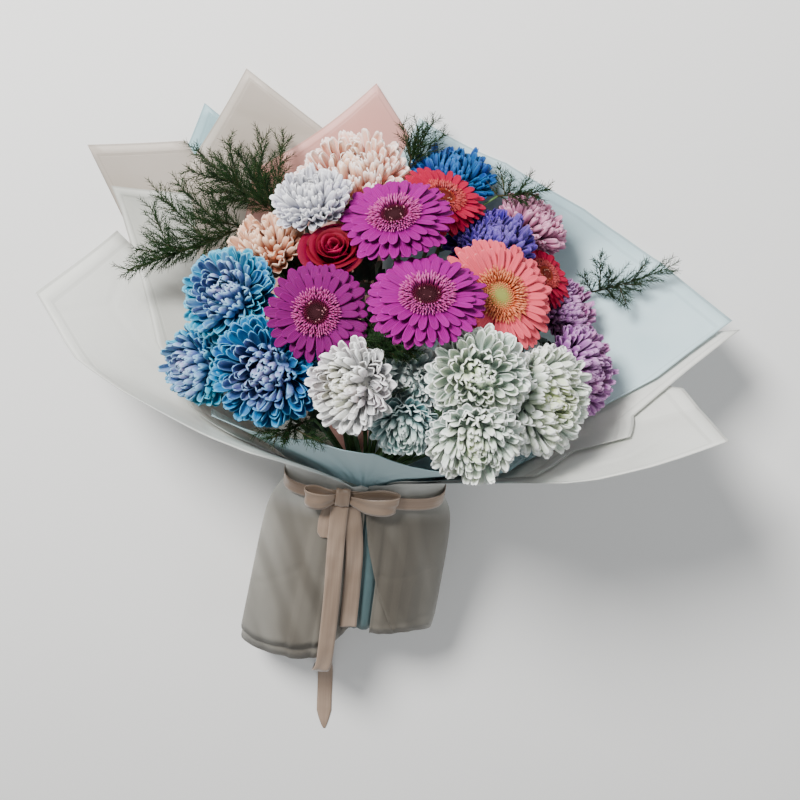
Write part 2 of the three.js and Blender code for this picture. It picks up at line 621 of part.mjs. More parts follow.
// ---- Gerbera: two layers of straps and a ring of florets round a hub --------------------------------
const RAY_ROUND = 15;
const HUB = 0.26; // of the bloom's radius
function gerbera(bloom) {
  const draw = draws(bloom.seed);
  const frame = localFrame(bloom.normal, draw() * 6);
  const R = bloom.radius;
  const place = (radius, turn, height) => bloom.centre.clone()
    .addScaledVector(frame.x, radius * Math.cos(turn))
    .addScaledVector(frame.y, radius * Math.sin(turn))
    .addScaledVector(frame.z, height);
  const step = (2 * Math.PI) / RAY_ROUND;
  const levels = [-5.5, -2.2, 0.4, 3.2];
  const points = [];
  const faces = [];
  const quad = (a, b, c, d) => faces.push([a, b, c], [a, c, d]);
  levels.forEach((height, level) => {
    for (let i = 0; i < RAY_ROUND; i += 1) points.push(place(R * HUB, (i + level * 0.5) * step, height));
  });
  const id = (level, i) => level * RAY_ROUND + ((i % RAY_ROUND) + RAY_ROUND) % RAY_ROUND;
  // A strap grows from the hub between two levels and thins to its blunt tip.
  const strap = (level, i, long, rise) => {
    const a = id(level, i);
    const b = id(level, i + 1);
    const c = id(level + 1, i + 1);
    const d = id(level + 1, i);
    const turn = (i + 0.5 + level * 0.5 + 0.25) * step + 0.03 * (draw() - 0.5);
    const root = points[a].clone().add(points[c]).multiplyScalar(0.5);
    const reach = R * long * (0.95 + 0.1 * draw());
    const spread = (0.34 * step * R * HUB * 3.2) / reach;
    const tip = (side, up) => points.push(held(
      bloom,
      root,
      place(reach, turn + side * spread, rise * R + up),
    )) - 1;
    const p = tip(-1, -0.4);
    const q = tip(1, -0.4);
    const r = tip(1, 0.5);
    const s = tip(-1, 0.5);
    quad(a, b, q, p);
    quad(d, s, r, c);
    quad(b, c, r, q);
    quad(a, p, s, d);
    quad(p, q, r, s);
  };
  for (let i = 0; i < RAY_ROUND; i += 1) {
    strap(0, i, 1, -0.06);
    strap(1, i, 0.9, 0.1);
    // A floret of the inner ring: a short spike.
    const turn = (i + 1.5 + 0.25) * step;
    const spike = points.push(held(bloom, bloom.centre, place(R * 0.46, turn, 6 + 1.5 * draw()))) - 1;
    const ring = [id(2, i), id(2, i + 1), id(3, i + 1), id(3, i)];
    for (let k = 0; k < 4; k += 1) faces.push([ring[k], ring[(k + 1) % 4], spike]);
  }
  const seat = points.push(place(0, 0, 1.6)) - 1;
  const foot = points.push(bloom.foot.clone()) - 1;
  for (let i = 0; i < RAY_ROUND; i += 1) {
    faces.push([seat, id(3, i), id(3, i + 1)], [foot, id(0, i + 1), id(0, i)]);
  }
  bloom.frame = frame;
  return closedGeometry(points, faces);
}

// The dark heart of a gerbera: a low studded dome that sits in the hub.
function gerberaHeart(bloom) {
  const { frame } = bloom;
  const R = bloom.radius * HUB;
  const place = (radius, turn, height) => bloom.centre.clone()
    .addScaledVector(frame.x, radius * Math.cos(turn))
    .addScaledVector(frame.y, radius * Math.sin(turn))
    .addScaledVector(frame.z, height);
  const rings = [[0.84, 3.35], [0.84, 4.6], [0.5, 5.6]].map(([size, height], k) => {
    const ring = [];
    for (let i = 0; i < 10; i += 1) {
      ring.push(place(R * size, ((i + k / 2) * Math.PI) / 5, height + (k && i % 2 ? 0.7 : 0)));
    }
    return ring;
  });
  return ringSkin(rings, place(0, 0, 2.4), place(0, 0, 5));
}

// ---- Rose: cups of five petals, one inside the other ------------------------------------------------
const ROSE_PROFILE = [
  // radius, height, how much the five lobes push the point out
  [0.3, -0.62, 0], [0.8, -0.3, 0.04], [1.0, 0.28, 0.1], [0.88, 0.34, 0.08], [0.74, -0.02, 0.02],
  [0.8, 0.5, -0.08], [0.68, 0.54, -0.08], [0.54, 0.16, 0], [0.56, 0.66, 0.08], [0.44, 0.68, 0.06],
  [0.32, 0.34, 0], [0.26, 0.72, -0.05],
];
function rose(bloom) {
  const frame = localFrame(bloom.normal, 0.4);
  const place = (radius, turn, height) => bloom.centre.clone()
    .addScaledVector(frame.x, radius * Math.cos(turn))
    .addScaledVector(frame.y, radius * Math.sin(turn))
    .addScaledVector(frame.z, height);
  const around = 15;
  const rings = ROSE_PROFILE.map(([radius, height, lobe]) => {
    const ring = [];
    for (let i = 0; i < around; i += 1) {
      const turn = (i * 2 * Math.PI) / around;
      const wave = Math.cos(5 * turn);
      const root = bloom.centre;
      const out = bloom.radius * radius * (0.92 + 0.8 * lobe * wave);
      ring.push(held(bloom, root, place(out, turn, bloom.radius * height * (1 + 0.2 * lobe * wave))));
    }
    return ring;
  });
  return ringSkin(rings, bloom.foot.clone(), place(0, 0, bloom.radius * 0.62));
}

// ---- Stems -------------------------------------------------------------------------------------------
// A round bar through points, as a closed prism.
function bar(path, radius, sides = 5) {
  const rings = path.map((point, i) => {
    const before = path[Math.max(0, i - 1)];
    const after = path[Math.min(path.length - 1, i + 1)];
    const way = after.clone().sub(before).normalize();
    const x = way.clone().cross(SIDE).normalize();
    const y = way.clone().cross(x);
    const size = Array.isArray(radius) ? radius[i] : radius;
    return Array.from({ length: sides }, (_, k) => {
      const turn = (k * 2 * Math.PI) / sides;
      return point.clone()
        .addScaledVector(x, size * Math.cos(turn))
        .addScaledVector(y, size * Math.sin(turn));
    });
  });
  return ringSkin(rings, path[0], path[path.length - 1]);
}
const join = (solids) => solids.reduce((all, one) => all.add(one));

// ---- Fern: fine needles on slim branches -----------------------------------------------------------
function clearOfBlooms(point, room) {
  return BLOOMS.every((bloom) => {
    const from = point.clone().sub(bloom.centre);
    const along = from.dot(bloom.normal);
    const across = Math.sqrt(Math.max(0, from.lengthSq() - along * along));
    return (across / (bloom.radius * 1.06 + room)) ** 2 + (along / (bloom.depth * 1.1 + room)) ** 2 > 1;
  });
}
// One branch: a three-sided core that thins to its tip, with three needles raised at every whorl.
function branch(from, to, radius, draw) {
  const long = from.distanceTo(to);
  const whorls = Math.max(2, Math.round(long / WHORL_STEP));
  const path = [];
  for (let i = 0; i < whorls; i += 1) {
    const t = (i + 0.75) / (whorls + 0.25);
    path.push(i ? t : 0, t + 2.2 / long);
  }
  const way = to.clone().sub(from).normalize();
  const x = way.clone().cross(v3(0.3, 0.2, 1)).normalize();
  const y = way.clone().cross(x);
  const points = [];
  const faces = [];
  path.forEach((t, i) => {
    const middle = from.clone().lerp(to, t).addScaledVector(v3(0, 0, 1), long * 0.24 * t * (1 - t));
    const size = radius * (1 - 0.6 * t);
    const turnBy = Math.floor(i / 2) * 0.5;
    for (let k = 0; k < 3; k += 1) {
      const turn = ((k + turnBy) * 2 * Math.PI) / 3;
      points.push(middle.clone()
        .addScaledVector(x, size * Math.cos(turn))
        .addScaledVector(y, size * Math.sin(turn)));
    }
  });
  const needle = (a, b, c) => {
    const middle = points[a].clone().add(points[b]).add(points[c]).divideScalar(3);
    const out = points[b].clone().sub(points[a]).cross(points[c].clone().sub(points[a])).normalize();
    const lean = out.addScaledVector(way, 0.8 + 0.5 * draw()).normalize();
    let size = NEEDLE * (0.75 + 0.4 * draw());
    for (let tries = 0; tries < 5; tries += 1) {
      const tip = middle.clone().addScaledVector(lean, size);
      const half = middle.clone().addScaledVector(lean, size / 2);
      if (clearOfBlooms(tip, 2.5) && clearOfBlooms(half, 2.5) && insidePaper(tip)) {
        const n = points.push(tip) - 1;
        faces.push([a, b, n], [b, c, n], [c, a, n]);
        return;
      }
      size *= 0.7;
    }
    faces.push([a, b, c]);
  };
  const rings = path.length;
  for (let i = 0; i + 1 < rings; i += 1) {
    const a = i * 3;
    for (let k = 0; k < 3; k += 1) {
      const j = (k + 1) % 3;
      if (i % 2 === 0 && i) needle(a + k, a + j, a + 3 + k);
      else faces.push([a + k, a + j, a + 3 + k]);
      faces.push([a + j, a + 3 + j, a + 3 + k]);
    }
  }
  const end = points.push(to.clone()) - 1;
  const last = (rings - 1) * 3;
  for (let k = 0; k < 3; k += 1) faces.push([last + k, last + ((k + 1) % 3), end]);
  faces.push([0, 2, 1]);
  return toSolid(closedGeometry(points, faces));
}
function fern(spray, seed) {
  const draw = draws(seed);
  const foot = seen(spray.foot);
  const tip = seen(spray.tip);
  const solids = [branch(foot, tip, FERN_CORE, draw)];
  for (const [part, end] of spray.arms) {
    const rise = foot.distanceTo(tip) * 0.24 * part * (1 - part);
    const start = foot.clone().lerp(tip, part).addScaledVector(v3(0, 0, 1), rise);
    solids.push(branch(start, seen(end), FERN_CORE * 0.75, draw));
  }
  return fromSolid(join(solids));
}

function stems() {
  const stem = ({ path, slim }) => (slim ? bar(path, STEM_RADIUS * 0.7, 3) : bar(path, STEM_RADIUS, 5));
  const solids = STEMS.map((end) => toSolid(stem(end)));
  // The stems press on each other at the binding, where the rest of the bunch holds them.
  const pressed = toSolid(bar([
    BINDING.clone().addScaledVector(AXIS, -7), BINDING.clone().addScaledVector(AXIS, 7),
  ], STEM_PITCH * 3, 12));
  return fromSolid(join([...solids, pressed]));
}

// ---- Rings and strips ---------------------------------------------------------------------------------
// A strip of an even thickness along a path: at each point its middle, its width's way and its outside.
function strip(places, width, thick, closed) {
  const points = [];
  const faces = [];
  places.forEach(({ at, across, out, wide = width }) => {
    for (const [side, up] of [[-1, -1], [1, -1], [1, 1], [-1, 1]]) {
      points.push(at.clone()
        .addScaledVector(across, (side * wide) / 2)
        .addScaledVector(out, (up * thick) / 2));
    }
  });
  const count = places.length;
  for (let i = 0; i < (closed ? count : count - 1); i += 1) {
    const a = i * 4;
    const b = ((i + 1) % count) * 4;
    for (let k = 0; k < 4; k += 1) {
      const j = (k + 1) % 4;
      faces.push([a + k, a + j, b + j], [a + k, b + j, b + k]);
    }
  }
  if (!closed) {
    const z = (count - 1) * 4;
    faces.push([0, 2, 1], [0, 3, 2], [z, z + 1, z + 2], [z, z + 2, z + 3]);
  }
  const solid = toSolid(closedGeometry(points, faces));
  if (solid.volume() > 0) return closedGeometry(points, faces);
  return closedGeometry(points, faces.map(([a, b, c]) => [a, c, b]));
}

function stemTie() {
  const places = Array.from({ length: 18 }, (_, i) => {
    const turn = (i * Math.PI) / 9;
    const out = SIDE.clone().multiplyScalar(Math.sin(turn)).addScaledVector(FRONT, Math.cos(turn));
    const r = 3 * STEM_PITCH + STEM_RADIUS + GAP + 1.1;
    return { at: BINDING.clone().addScaledVector(out, r), across: AXIS, out };
  });
  return strip(places, 8, 2.2, true);
}

// The outside of the gathered papers at the ribbon.
function wrapPoint(azimuth, lift) {
  const fold = Math.floor(azimuth / COLUMN_STEP) * COLUMN_STEP;
  const s = (azimuth - fold) / COLUMN_STEP;
  const point = (f) => {
    const out = LAYER_STEP * (sheetsAt(f, () => true) - 1) + lift;
    const a = WAIST_HALF_WIDTH + out;
    const b = WAIST_HALF_DEPTH + out;
    const r = (a * b) / Math.hypot(b * Math.sin(rad(f)), a * Math.cos(rad(f)));
    return BINDING.clone()
      .addScaledVector(SIDE, r * Math.sin(rad(f)))
      .addScaledVector(FRONT, r * Math.cos(rad(f)));
  };
  return point(fold).lerp(point(fold + COLUMN_STEP), s);
}
const BAND_LIFT = PAPER / 2 + GAP + RIBBON_THICK / 2 + 0.1;
function ribbonBand() {
  const places = [];
  for (let fold = 0; fold < 360; fold += COLUMN_STEP) {
    const at = wrapPoint(fold, BAND_LIFT);
    const out = wrapPoint(fold, BAND_LIFT + 1).sub(at).normalize();
    places.push({ at, across: AXIS, out });
  }
  return strip(places, 17, RIBBON_THICK, true);
}

const KNOT_AZIMUTH = -40;
const knotFoot = wrapPoint(KNOT_AZIMUTH, BAND_LIFT + RIBBON_THICK / 2);
const knotOut = FRONT.clone();
const knotPoint = (right, up, out) => knotFoot.clone()
  .addScaledVector(SIDE, right).addScaledVector(AXIS, up).addScaledVector(knotOut, out);

function ribbonKnot() {
  const outline = [[-11, 3], [-11.5, 6], [-8, 9], [0, 10], [8, 9], [11.5, 6], [11, 3], [0, 1.8]];
  const places = outline.map(([up, out], i) => {
    const next = outline[(i + 1) % outline.length];
    const last = outline[(i + outline.length - 1) % outline.length];
    const normal = v3(0, 0, 0)
      .addScaledVector(AXIS, last[1] - next[1])
      .addScaledVector(knotOut, next[0] - last[0]);
    return { at: knotPoint(0, up, out - 0.7), across: SIDE, out: normal.normalize() };
  });
  return strip(places, 15, RIBBON_THICK, true);
}

// A loop of the bow: out to one side and back, standing on its edge.
function ribbonLoop(side, long, tall, tilt) {
  const outline = [
    [0.18, 0.22], [0.5, 0.85], [0.82, 0.95], [1, 0.68], [0.97, 0.34], [0.75, 0.12], [0.4, 0.08], [0.18, 0.03],
  ];
  const start = 6.2;
  const places = outline.map(([out, up], i) => {
    const next = outline[(i + 1) % outline.length];
    const last = outline[(i + outline.length - 1) % outline.length];
    const right = side * (start + (out - 0.18) * long);
    const across = AXIS.clone().addScaledVector(SIDE, tilt * side * 0.2).normalize();
    const normal = v3(0, 0, 0).addScaledVector(SIDE, side * (next[1] - last[1]) * tall)
      .addScaledVector(knotOut, -(next[0] - last[0]) * long);
    return {
      at: knotPoint(right, tilt * (out - 0.18) * 10, up * tall + 2.5), across, out: normal.normalize(),
      wide: 10 + 14 * Math.min(1, (out - 0.18) * 2.2),
    };
  });
  return strip(places, RIBBON_WIDTH, RIBBON_THICK, true);
}

// A tail of the bow lies on the papers: along and right at each point, and how far off the paper.
const TAIL_LAYER = 5;
function tailPlaces(track, lift, width) {
  return track.map(([along, azimuth]) => {
    const at = layerPoint(360 + azimuth, -along, TAIL_LAYER);
    const low = layerPoint(360 + azimuth, -along - 2, TAIL_LAYER);
    const left = layerPoint(360 + azimuth - 9, -along, TAIL_LAYER);
    const right = layerPoint(360 + azimuth + 9, -along, TAIL_LAYER).sub(left).normalize();
    const out = right.clone().cross(at.clone().sub(low)).normalize();
    return { at: at.clone().addScaledVector(out, lift), across: right, out, wide: width };
  });
}
const TAIL_MID = [[13.4, -26], [40, -14], [80, -5], [130, 0], [196, 3]];
const TAIL_SHORT = [[13.4, -50], [34, -50], [58, -47]];
const TAIL_LONG = [[14.2, -42], [45, -36], [90, -32], [150, -28], [244, -25]];
const TAIL_LAID = [[-24, -274, 92], [-21, -298, 46], [-18, -318, 14], [-15, -342, 1.6], [-11, -400, 0.45]];
const TAIL_TIP = [-8, -432, 0.45];
function ribbonTailLong() {
  const places = tailPlaces(TAIL_LONG, 5.7, RIBBON_WIDTH * 0.8);
  const laid = TAIL_LAID.map((p) => v3(...p));
  const tip = v3(...TAIL_TIP);
  laid.forEach((at, i) => {
    const last = i ? laid[i - 1] : places[places.length - 1].at;
    const next = laid[i + 1] || tip;
    const way = next.clone().sub(last).normalize();
    const out = SIDE.clone().cross(way).negate().normalize();
    places.push({ at, across: SIDE, out: out.z < 0 ? out.negate() : out, wide: RIBBON_WIDTH * 0.72 });
  });
  places.push({ at: tip, across: SIDE, out: v3(0, 0, 1), wide: 3 });
  return strip(places, RIBBON_WIDTH, RIBBON_THICK, false);
}

// ---- The bouquet -----------------------------------------------------------------------------
const group = new THREE.Group();
group.name = 'mixed_flower_bouquet';
function add(name, geometry, colour, roughness) {
  geometry.computeVertexNormals();
  const mesh = new THREE.Mesh(geometry, new THREE.MeshStandardMaterial({ color: colour, roughness }));
  mesh.name = name;
  group.add(mesh);
}
const RIBBON = 0xc0a694;
const GREEN = 0x2c4a2e;
const tail = (track, lift, width) => strip(tailPlaces(track, lift, width), RIBBON_WIDTH, RIBBON_THICK, false);

for (const bloom of BLOOMS) {
  const make = { [GERBERA]: gerbera, [MUM]: chrysanthemum, [ROSE]: rose }[bloom.kind];
  add(bloom.name, make(bloom), bloom.colour, 0.75);
  if (bloom.kind === GERBERA) add(`${bloom.name}_heart`, gerberaHeart(bloom), bloom.heart, 0.9);
}
for (const sheet of SHEETS) add(sheet.name, paperSheet(sheet), sheet.colour, 0.8);
FERNS.forEach((spray, i) => add(spray.name, fern(spray, 301 + i), GREEN, 0.8));
add('stems', stems(), 0x4f7a43, 0.6);
add('stem_tie', stemTie(), 0xb59a5c, 0.6);
add('ribbon_band', ribbonBand(), RIBBON, 0.4);
add('ribbon_knot', ribbonKnot(), RIBBON, 0.4);
add('ribbon_loop_left', ribbonLoop(-1, 40, 15, 0.4), RIBBON, 0.4);
add('ribbon_loop_right', ribbonLoop(1, 62, 17, 0.8), RIBBON, 0.4);
add('ribbon_tail_long', ribbonTailLong(), RIBBON, 0.4);
add('ribbon_tail_middle', tail(TAIL_MID, 3.4, RIBBON_WIDTH * 0.8), RIBBON, 0.4);
add('ribbon_tail_short', tail(TAIL_SHORT, 1.9, RIBBON_WIDTH * 0.7), RIBBON, 0.4);

// The origin is the middle of the bouquet's footprint, on the table.
const extent = new THREE.Box3().setFromObject(group);
const centre = extent.getCenter(v3(0, 0, 0));
for (const mesh of group.children) mesh.geometry.translate(-centre.x, -centre.y, -extent.min.z);

export default group;
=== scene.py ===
# %% [markdown]
# # A mixed flower bouquet, wrapped in paper and laid on its back
#
# The bunch holds gerberas, one rose, dyed chrysanthemums and fern, in a fan of paper sheets
# with a satin bow. The frame gives each piece's place and size, so everything here is made
# where the frame's solids are, and stands for them. Lengths are in metres. The tables are
# written in millimetres, which are easier to read, and the places of the fern in pixels.

# %% Load the frame
import json
import math
import random

import bmesh
import bpy
import numpy as np
from mathutils import Matrix, Vector

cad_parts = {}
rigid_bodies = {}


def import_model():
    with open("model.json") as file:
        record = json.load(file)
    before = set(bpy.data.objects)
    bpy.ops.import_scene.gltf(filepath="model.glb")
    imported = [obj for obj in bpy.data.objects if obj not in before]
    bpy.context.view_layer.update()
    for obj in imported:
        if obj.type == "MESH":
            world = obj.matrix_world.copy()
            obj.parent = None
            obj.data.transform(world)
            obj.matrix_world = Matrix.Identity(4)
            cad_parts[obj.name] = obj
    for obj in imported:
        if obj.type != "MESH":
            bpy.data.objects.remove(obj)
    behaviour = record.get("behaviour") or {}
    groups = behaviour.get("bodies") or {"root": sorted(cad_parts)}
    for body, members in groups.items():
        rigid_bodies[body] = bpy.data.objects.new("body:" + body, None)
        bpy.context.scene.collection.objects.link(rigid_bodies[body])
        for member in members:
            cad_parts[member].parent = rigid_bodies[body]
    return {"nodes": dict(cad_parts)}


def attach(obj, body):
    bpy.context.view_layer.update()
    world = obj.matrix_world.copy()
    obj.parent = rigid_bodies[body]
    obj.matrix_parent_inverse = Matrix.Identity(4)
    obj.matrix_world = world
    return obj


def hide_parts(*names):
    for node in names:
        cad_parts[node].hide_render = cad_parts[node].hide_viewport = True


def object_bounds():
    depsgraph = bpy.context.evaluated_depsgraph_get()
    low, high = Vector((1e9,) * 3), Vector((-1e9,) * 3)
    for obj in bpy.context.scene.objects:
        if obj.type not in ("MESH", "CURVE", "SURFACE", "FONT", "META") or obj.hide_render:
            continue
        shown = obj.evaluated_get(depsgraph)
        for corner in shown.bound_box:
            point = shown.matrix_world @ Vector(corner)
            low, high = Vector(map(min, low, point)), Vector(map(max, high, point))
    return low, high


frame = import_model()
frame_box = [list(corner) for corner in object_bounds()]
MM = 0.001
UP = np.array([0.0, 0.0, 1.0])
GOLDEN_ANGLE = 2.39996  # in radians: each next petal of a spiral is turned by it
print("frame box", frame_box)

# %% [markdown]
# ## Small helpers
#
# Many pieces need the same few steps: a direction of length one, a primitive with a name of
# its own, and a thin sheet that gets two faces and a closed rim. They are written once here.


# %% Helpers that every piece uses
def unit(vector):
    return vector / np.linalg.norm(vector)


def unit_rows(vectors):
    return vectors / np.linalg.norm(vectors, axis=1)[:, None]


def start_from(primitive, name, **settings):
    """Adds a primitive with nothing else selected, and names it."""
    bpy.ops.object.select_all(action="DESELECT")
    primitive(**settings)
    piece = bpy.context.object
    piece.name = name
    return piece


def thicken(sheet, thickness):
    """Gives the active sheet two faces and a closed rim."""
    solidify = sheet.modifiers.new("thickness", "SOLIDIFY")
    solidify.thickness = thickness
    solidify.offset = 0
    bpy.ops.object.modifier_apply(modifier=solidify.name)


def sheet_from_grid(name, points, faces, own, thickness):
    """A closed, smooth sheet from rows of points. own is each point's place on its own map."""
    mesh = bpy.data.meshes.new(name)
    mesh.from_pydata(points.reshape(-1, 3).tolist(), [], faces)
    corners = np.array([corner for face in faces for corner in face])
    own_map = mesh.uv_layers.new(name="own")
    own_map.data.foreach_set("uv", own.reshape(-1, 2)[corners].ravel())
    mesh.polygons.foreach_set("use_smooth", np.full(len(faces), True))
    sheet = bpy.data.objects.new(name, mesh)
    bpy.context.scene.collection.objects.link(sheet)
    bpy.ops.object.select_all(action="DESELECT")
    bpy.context.view_layer.objects.active = sheet
    sheet.select_set(True)
    thicken(sheet, thickness)
    return sheet


# %% [markdown]
# ## The bunch's own directions
#
# The stems are bound at one point above the table. From there the bunch has an axis that
# climbs towards the flowers, a front, and a side. The flowers are placed as they are seen
# from the front: so far to the right, so far up, and so far out towards the eye.

# %% Directions and places
BINDING = Vector((-8.513, 17.290, 118.0)) * MM
LIE_TILT, FRONT_PITCH, FRONT_TURN = 15.0, 25.0, 7.0
AXIS = Vector((0, math.cos(math.radians(LIE_TILT)), math.sin(math.radians(LIE_TILT))))
FRONT = Vector((0, -math.sin(math.radians(LIE_TILT)), math.cos(math.radians(LIE_TILT))))
SIDE = Vector((1, 0, 0))
FACE = Matrix.Rotation(math.radians(FRONT_TURN), 3, "Z") @ Matrix.Rotation(
    math.radians(-FRONT_PITCH), 3, "X"
)


def front_place(right, up, out):
    """A point given as it is seen from the front, in millimetres from the binding."""
    return BINDING + FACE @ (Vector((right, up, out)) * MM)


def front_way(turn, lift):
    """The way a flower looks, turned to the right and up from straight at the eye."""
    turn, lift = math.radians(turn), math.radians(lift)
    return (FACE @ Vector((
        math.sin(turn) * math.cos(lift), math.sin(lift), math.cos(turn) * math.cos(lift)
    ))).normalized()


EYE = (37.5, 85.6, 1400.0)
VIEW_WIDTH, VIEW_FOCAL = 800, 1308.0  # in pixels; the view is square
VIEW_MIDDLE = VIEW_WIDTH / 2


def seen_place(x, y, out):
    """A point given by where it shows in the view, and how far out of the bunch it is."""
    size = (EYE[2] - out) / VIEW_FOCAL
    return front_place(
        EYE[0] + (x - VIEW_MIDDLE) * size, EYE[1] + (VIEW_MIDDLE - y) * size, out
    )


print("axis", tuple(round(v, 3) for v in AXIS), "front", tuple(round(v, 3) for v in FRONT))

# %% [markdown]
# ## The camera
#
# It looks down on the bunch from its front, square to the faces of the middle flowers.

# %% Camera
camera_data = bpy.data.cameras.new("camera")
camera_data.sensor_width = 36.0
camera_data.lens = camera_data.sensor_width * VIEW_FOCAL / VIEW_WIDTH
camera_data.clip_start = 0.05
camera = bpy.data.objects.new("camera", camera_data)
camera.matrix_world = Matrix.Translation(front_place(*EYE)) @ FACE.to_4x4()
bpy.context.scene.collection.objects.link(camera)
bpy.context.scene.camera = camera
print("camera at", tuple(round(v, 3) for v in camera.location), "lens", round(camera_data.lens, 2))

# %% [markdown]
# ## Table and light
#
# A pale floor, one strong soft light that comes from beyond the flowers' left side, and two
# weak ones from the right and the front. The pale world fills the shadows, as in a studio.

# %% Floor
FLOOR_WIDTH, FLOOR_GAP = 12, 0.0002
floor = start_from(
    bpy.ops.mesh.primitive_plane_add, "floor", size=FLOOR_WIDTH, location=(0, 0, -FLOOR_GAP)
)


# %% Nodes, in short
class Shades:
    """A small helper for a material's nodes: it adds one, links its inputs, hands it back."""

    def __init__(self, name, **settings):
        self.material = bpy.data.materials.new(name)
        self.material.use_nodes = True
        self.tree = self.material.node_tree
        self.tree.nodes.clear()
        self.shader = self.node("ShaderNodeBsdfPrincipled")
        output = self.node("ShaderNodeOutputMaterial")
        self.tree.links.new(self.shader.outputs[0], output.inputs[0])
        for socket, value in settings.items():
            self.shader.inputs[socket.replace("_", " ")].default_value = value

    def node(self, kind, inputs=None, **settings):
        new = self.tree.nodes.new(kind)
        for key, value in settings.items():
            setattr(new, key, value)
        for key, value in (inputs or {}).items():
            if isinstance(value, bpy.types.NodeSocket):
                self.tree.links.new(value, new.inputs[key])
            else:
                new.inputs[key].default_value = value
        return new

    def math(self, operation, a, b=0.5, c=None):
        values = {0: a, 1: b}
        if c is not None:
            values[2] = c
        return self.node("ShaderNodeMath", values, operation=operation).outputs[0]

    def ramp(self, value, stops):
        new = self.node("ShaderNodeValToRGB", {0: value})
        new.color_ramp.interpolation = "EASE"
        while len(new.color_ramp.elements) < len(stops):
            new.color_ramp.elements.new(0.5)
        for element, (at, colour) in zip(new.color_ramp.elements, stops):
            element.position = at
            element.color = (*colour, 1)
        return new.outputs[0]

    def grey(self, value, low, high):
        """0 below low and 1 above high, smoothly."""
        new = self.node(
            "ShaderNodeMapRange", {0: value, 1: low, 2: high}, interpolation_type="SMOOTHSTEP"
        )
        return new.outputs[0]

    def mix(self, part, a, b):
        new = self.node("ShaderNodeMix", data_type="RGBA", blend_type="MIX")
        for key, value in ((0, part), (6, a), (7, b)):
            if isinstance(value, bpy.types.NodeSocket):
                self.tree.links.new(value, new.inputs[key])
            else:
                new.inputs[key].default_value = (*value, 1) if key else value
        return new.outputs[2]

    def tinge(self, part, share, tone, colour):
        """Mixes a share of a colour into the tone, where part is above 0."""
        return self.mix(self.math("MULTIPLY", part, share), tone, colour)

    def noise(self, vector, scale, detail=3.0, rough=0.5):
        return self.node("ShaderNodeTexNoise", {
            "Vector": vector, "Scale": scale, "Detail": detail, "Roughness": rough
        }).outputs[0]

    def here(self):
        return self.node("ShaderNodeTexCoord").outputs["Object"]

    def own(self):
        """The piece's own map: across and along."""
        place = self.node("ShaderNodeTexCoord").outputs["UV"]
        split = self.node("ShaderNodeSeparateXYZ", {0: place})
        return split.outputs[0], split.outputs[1]

    def from_middle(self, value):
        """0 in the middle of a value's run from 0 to 1, and 1 at both its ends."""
        return self.math("ABSOLUTE", self.math("MULTIPLY_ADD", value, 2.0, -1.0))

    def tint(self):
        """What each petal was given: its own draw, how far out it stands, and a third value,
        which tells the fern's wood from its needles."""
        attribute = self.node("ShaderNodeAttribute", attribute_name="tint")
        split = self.node("ShaderNodeSeparateColor", {0: attribute.outputs["Color"]})
        return split.outputs[0], split.outputs[1], split.outputs[2]

    def stretched(self, x, y, along_x, along_y):
        return self.node("ShaderNodeCombineXYZ", {
            0: self.math("MULTIPLY", x, along_x), 1: self.math("MULTIPLY", y, along_y)
        }).outputs[0]

    def finish(self, colour, height=None, bump=0.2, distance=0.001):
        self.tree.links.new(colour, self.shader.inputs["Base Color"])
        if height is not None:
            lift = self.node("ShaderNodeBump", {
                "Height": height, "Strength": bump, "Distance": distance
            })
            self.tree.links.new(lift.outputs[0], self.shader.inputs["Normal"])
        return self.material


floor_shades = Shades("pale_floor", Roughness=0.85)
floor_tone = floor_shades.mix(
    floor_shades.noise(floor_shades.here(), 3.0), (0.90, 0.90, 0.89), (0.93, 0.93, 0.92)
)
floor.data.materials.append(floor_shades.finish(floor_tone))


# %% Lights
def soft_light(name, place, aim, size, power, colour=(1, 1, 1)):
    data = bpy.data.lights.new(name, "AREA")
    data.shape = "DISK"
    data.size = size
    data.energy = power
    data.color = colour
    light = bpy.data.objects.new(name, data)
    turn = (Vector(aim) - Vector(place)).to_track_quat("-Z", "Y").to_matrix().to_4x4()
    light.matrix_world = Matrix.Translation(place) @ turn
    bpy.context.scene.collection.objects.link(light)


soft_light("light_above", (-1.1, 1.85, 1.7), (0, 0.15, 0.1), 0.8, 150, (1.0, 0.985, 0.96))
soft_light("light_right", (1.9, 0.4, 1.6), (0, 0.1, 0.1), 1.2, 10, (0.95, 0.98, 1.0))
soft_light("light_front", (-0.4, -1.8, 1.7), (0, 0.1, 0.1), 1.4, 4, (1.0, 0.95, 0.90))
world = bpy.data.worlds.new("studio")
world.use_nodes = True
background = world.node_tree.nodes["Background"]
background.inputs["Color"].default_value = (0.93, 0.95, 0.97, 1)
background.inputs["Strength"].default_value = 0.36
bpy.context.scene.world = world

# %% [markdown]
# ## Modelling one petal
#
# A petal starts as a small grid. Row by row it is made as wide as the petal is there, moved
# up or down, and its edges are raised into a scoop. Solidify then gives it two faces and a
# closed rim. Every flower is built from copies of a few petals made like this.


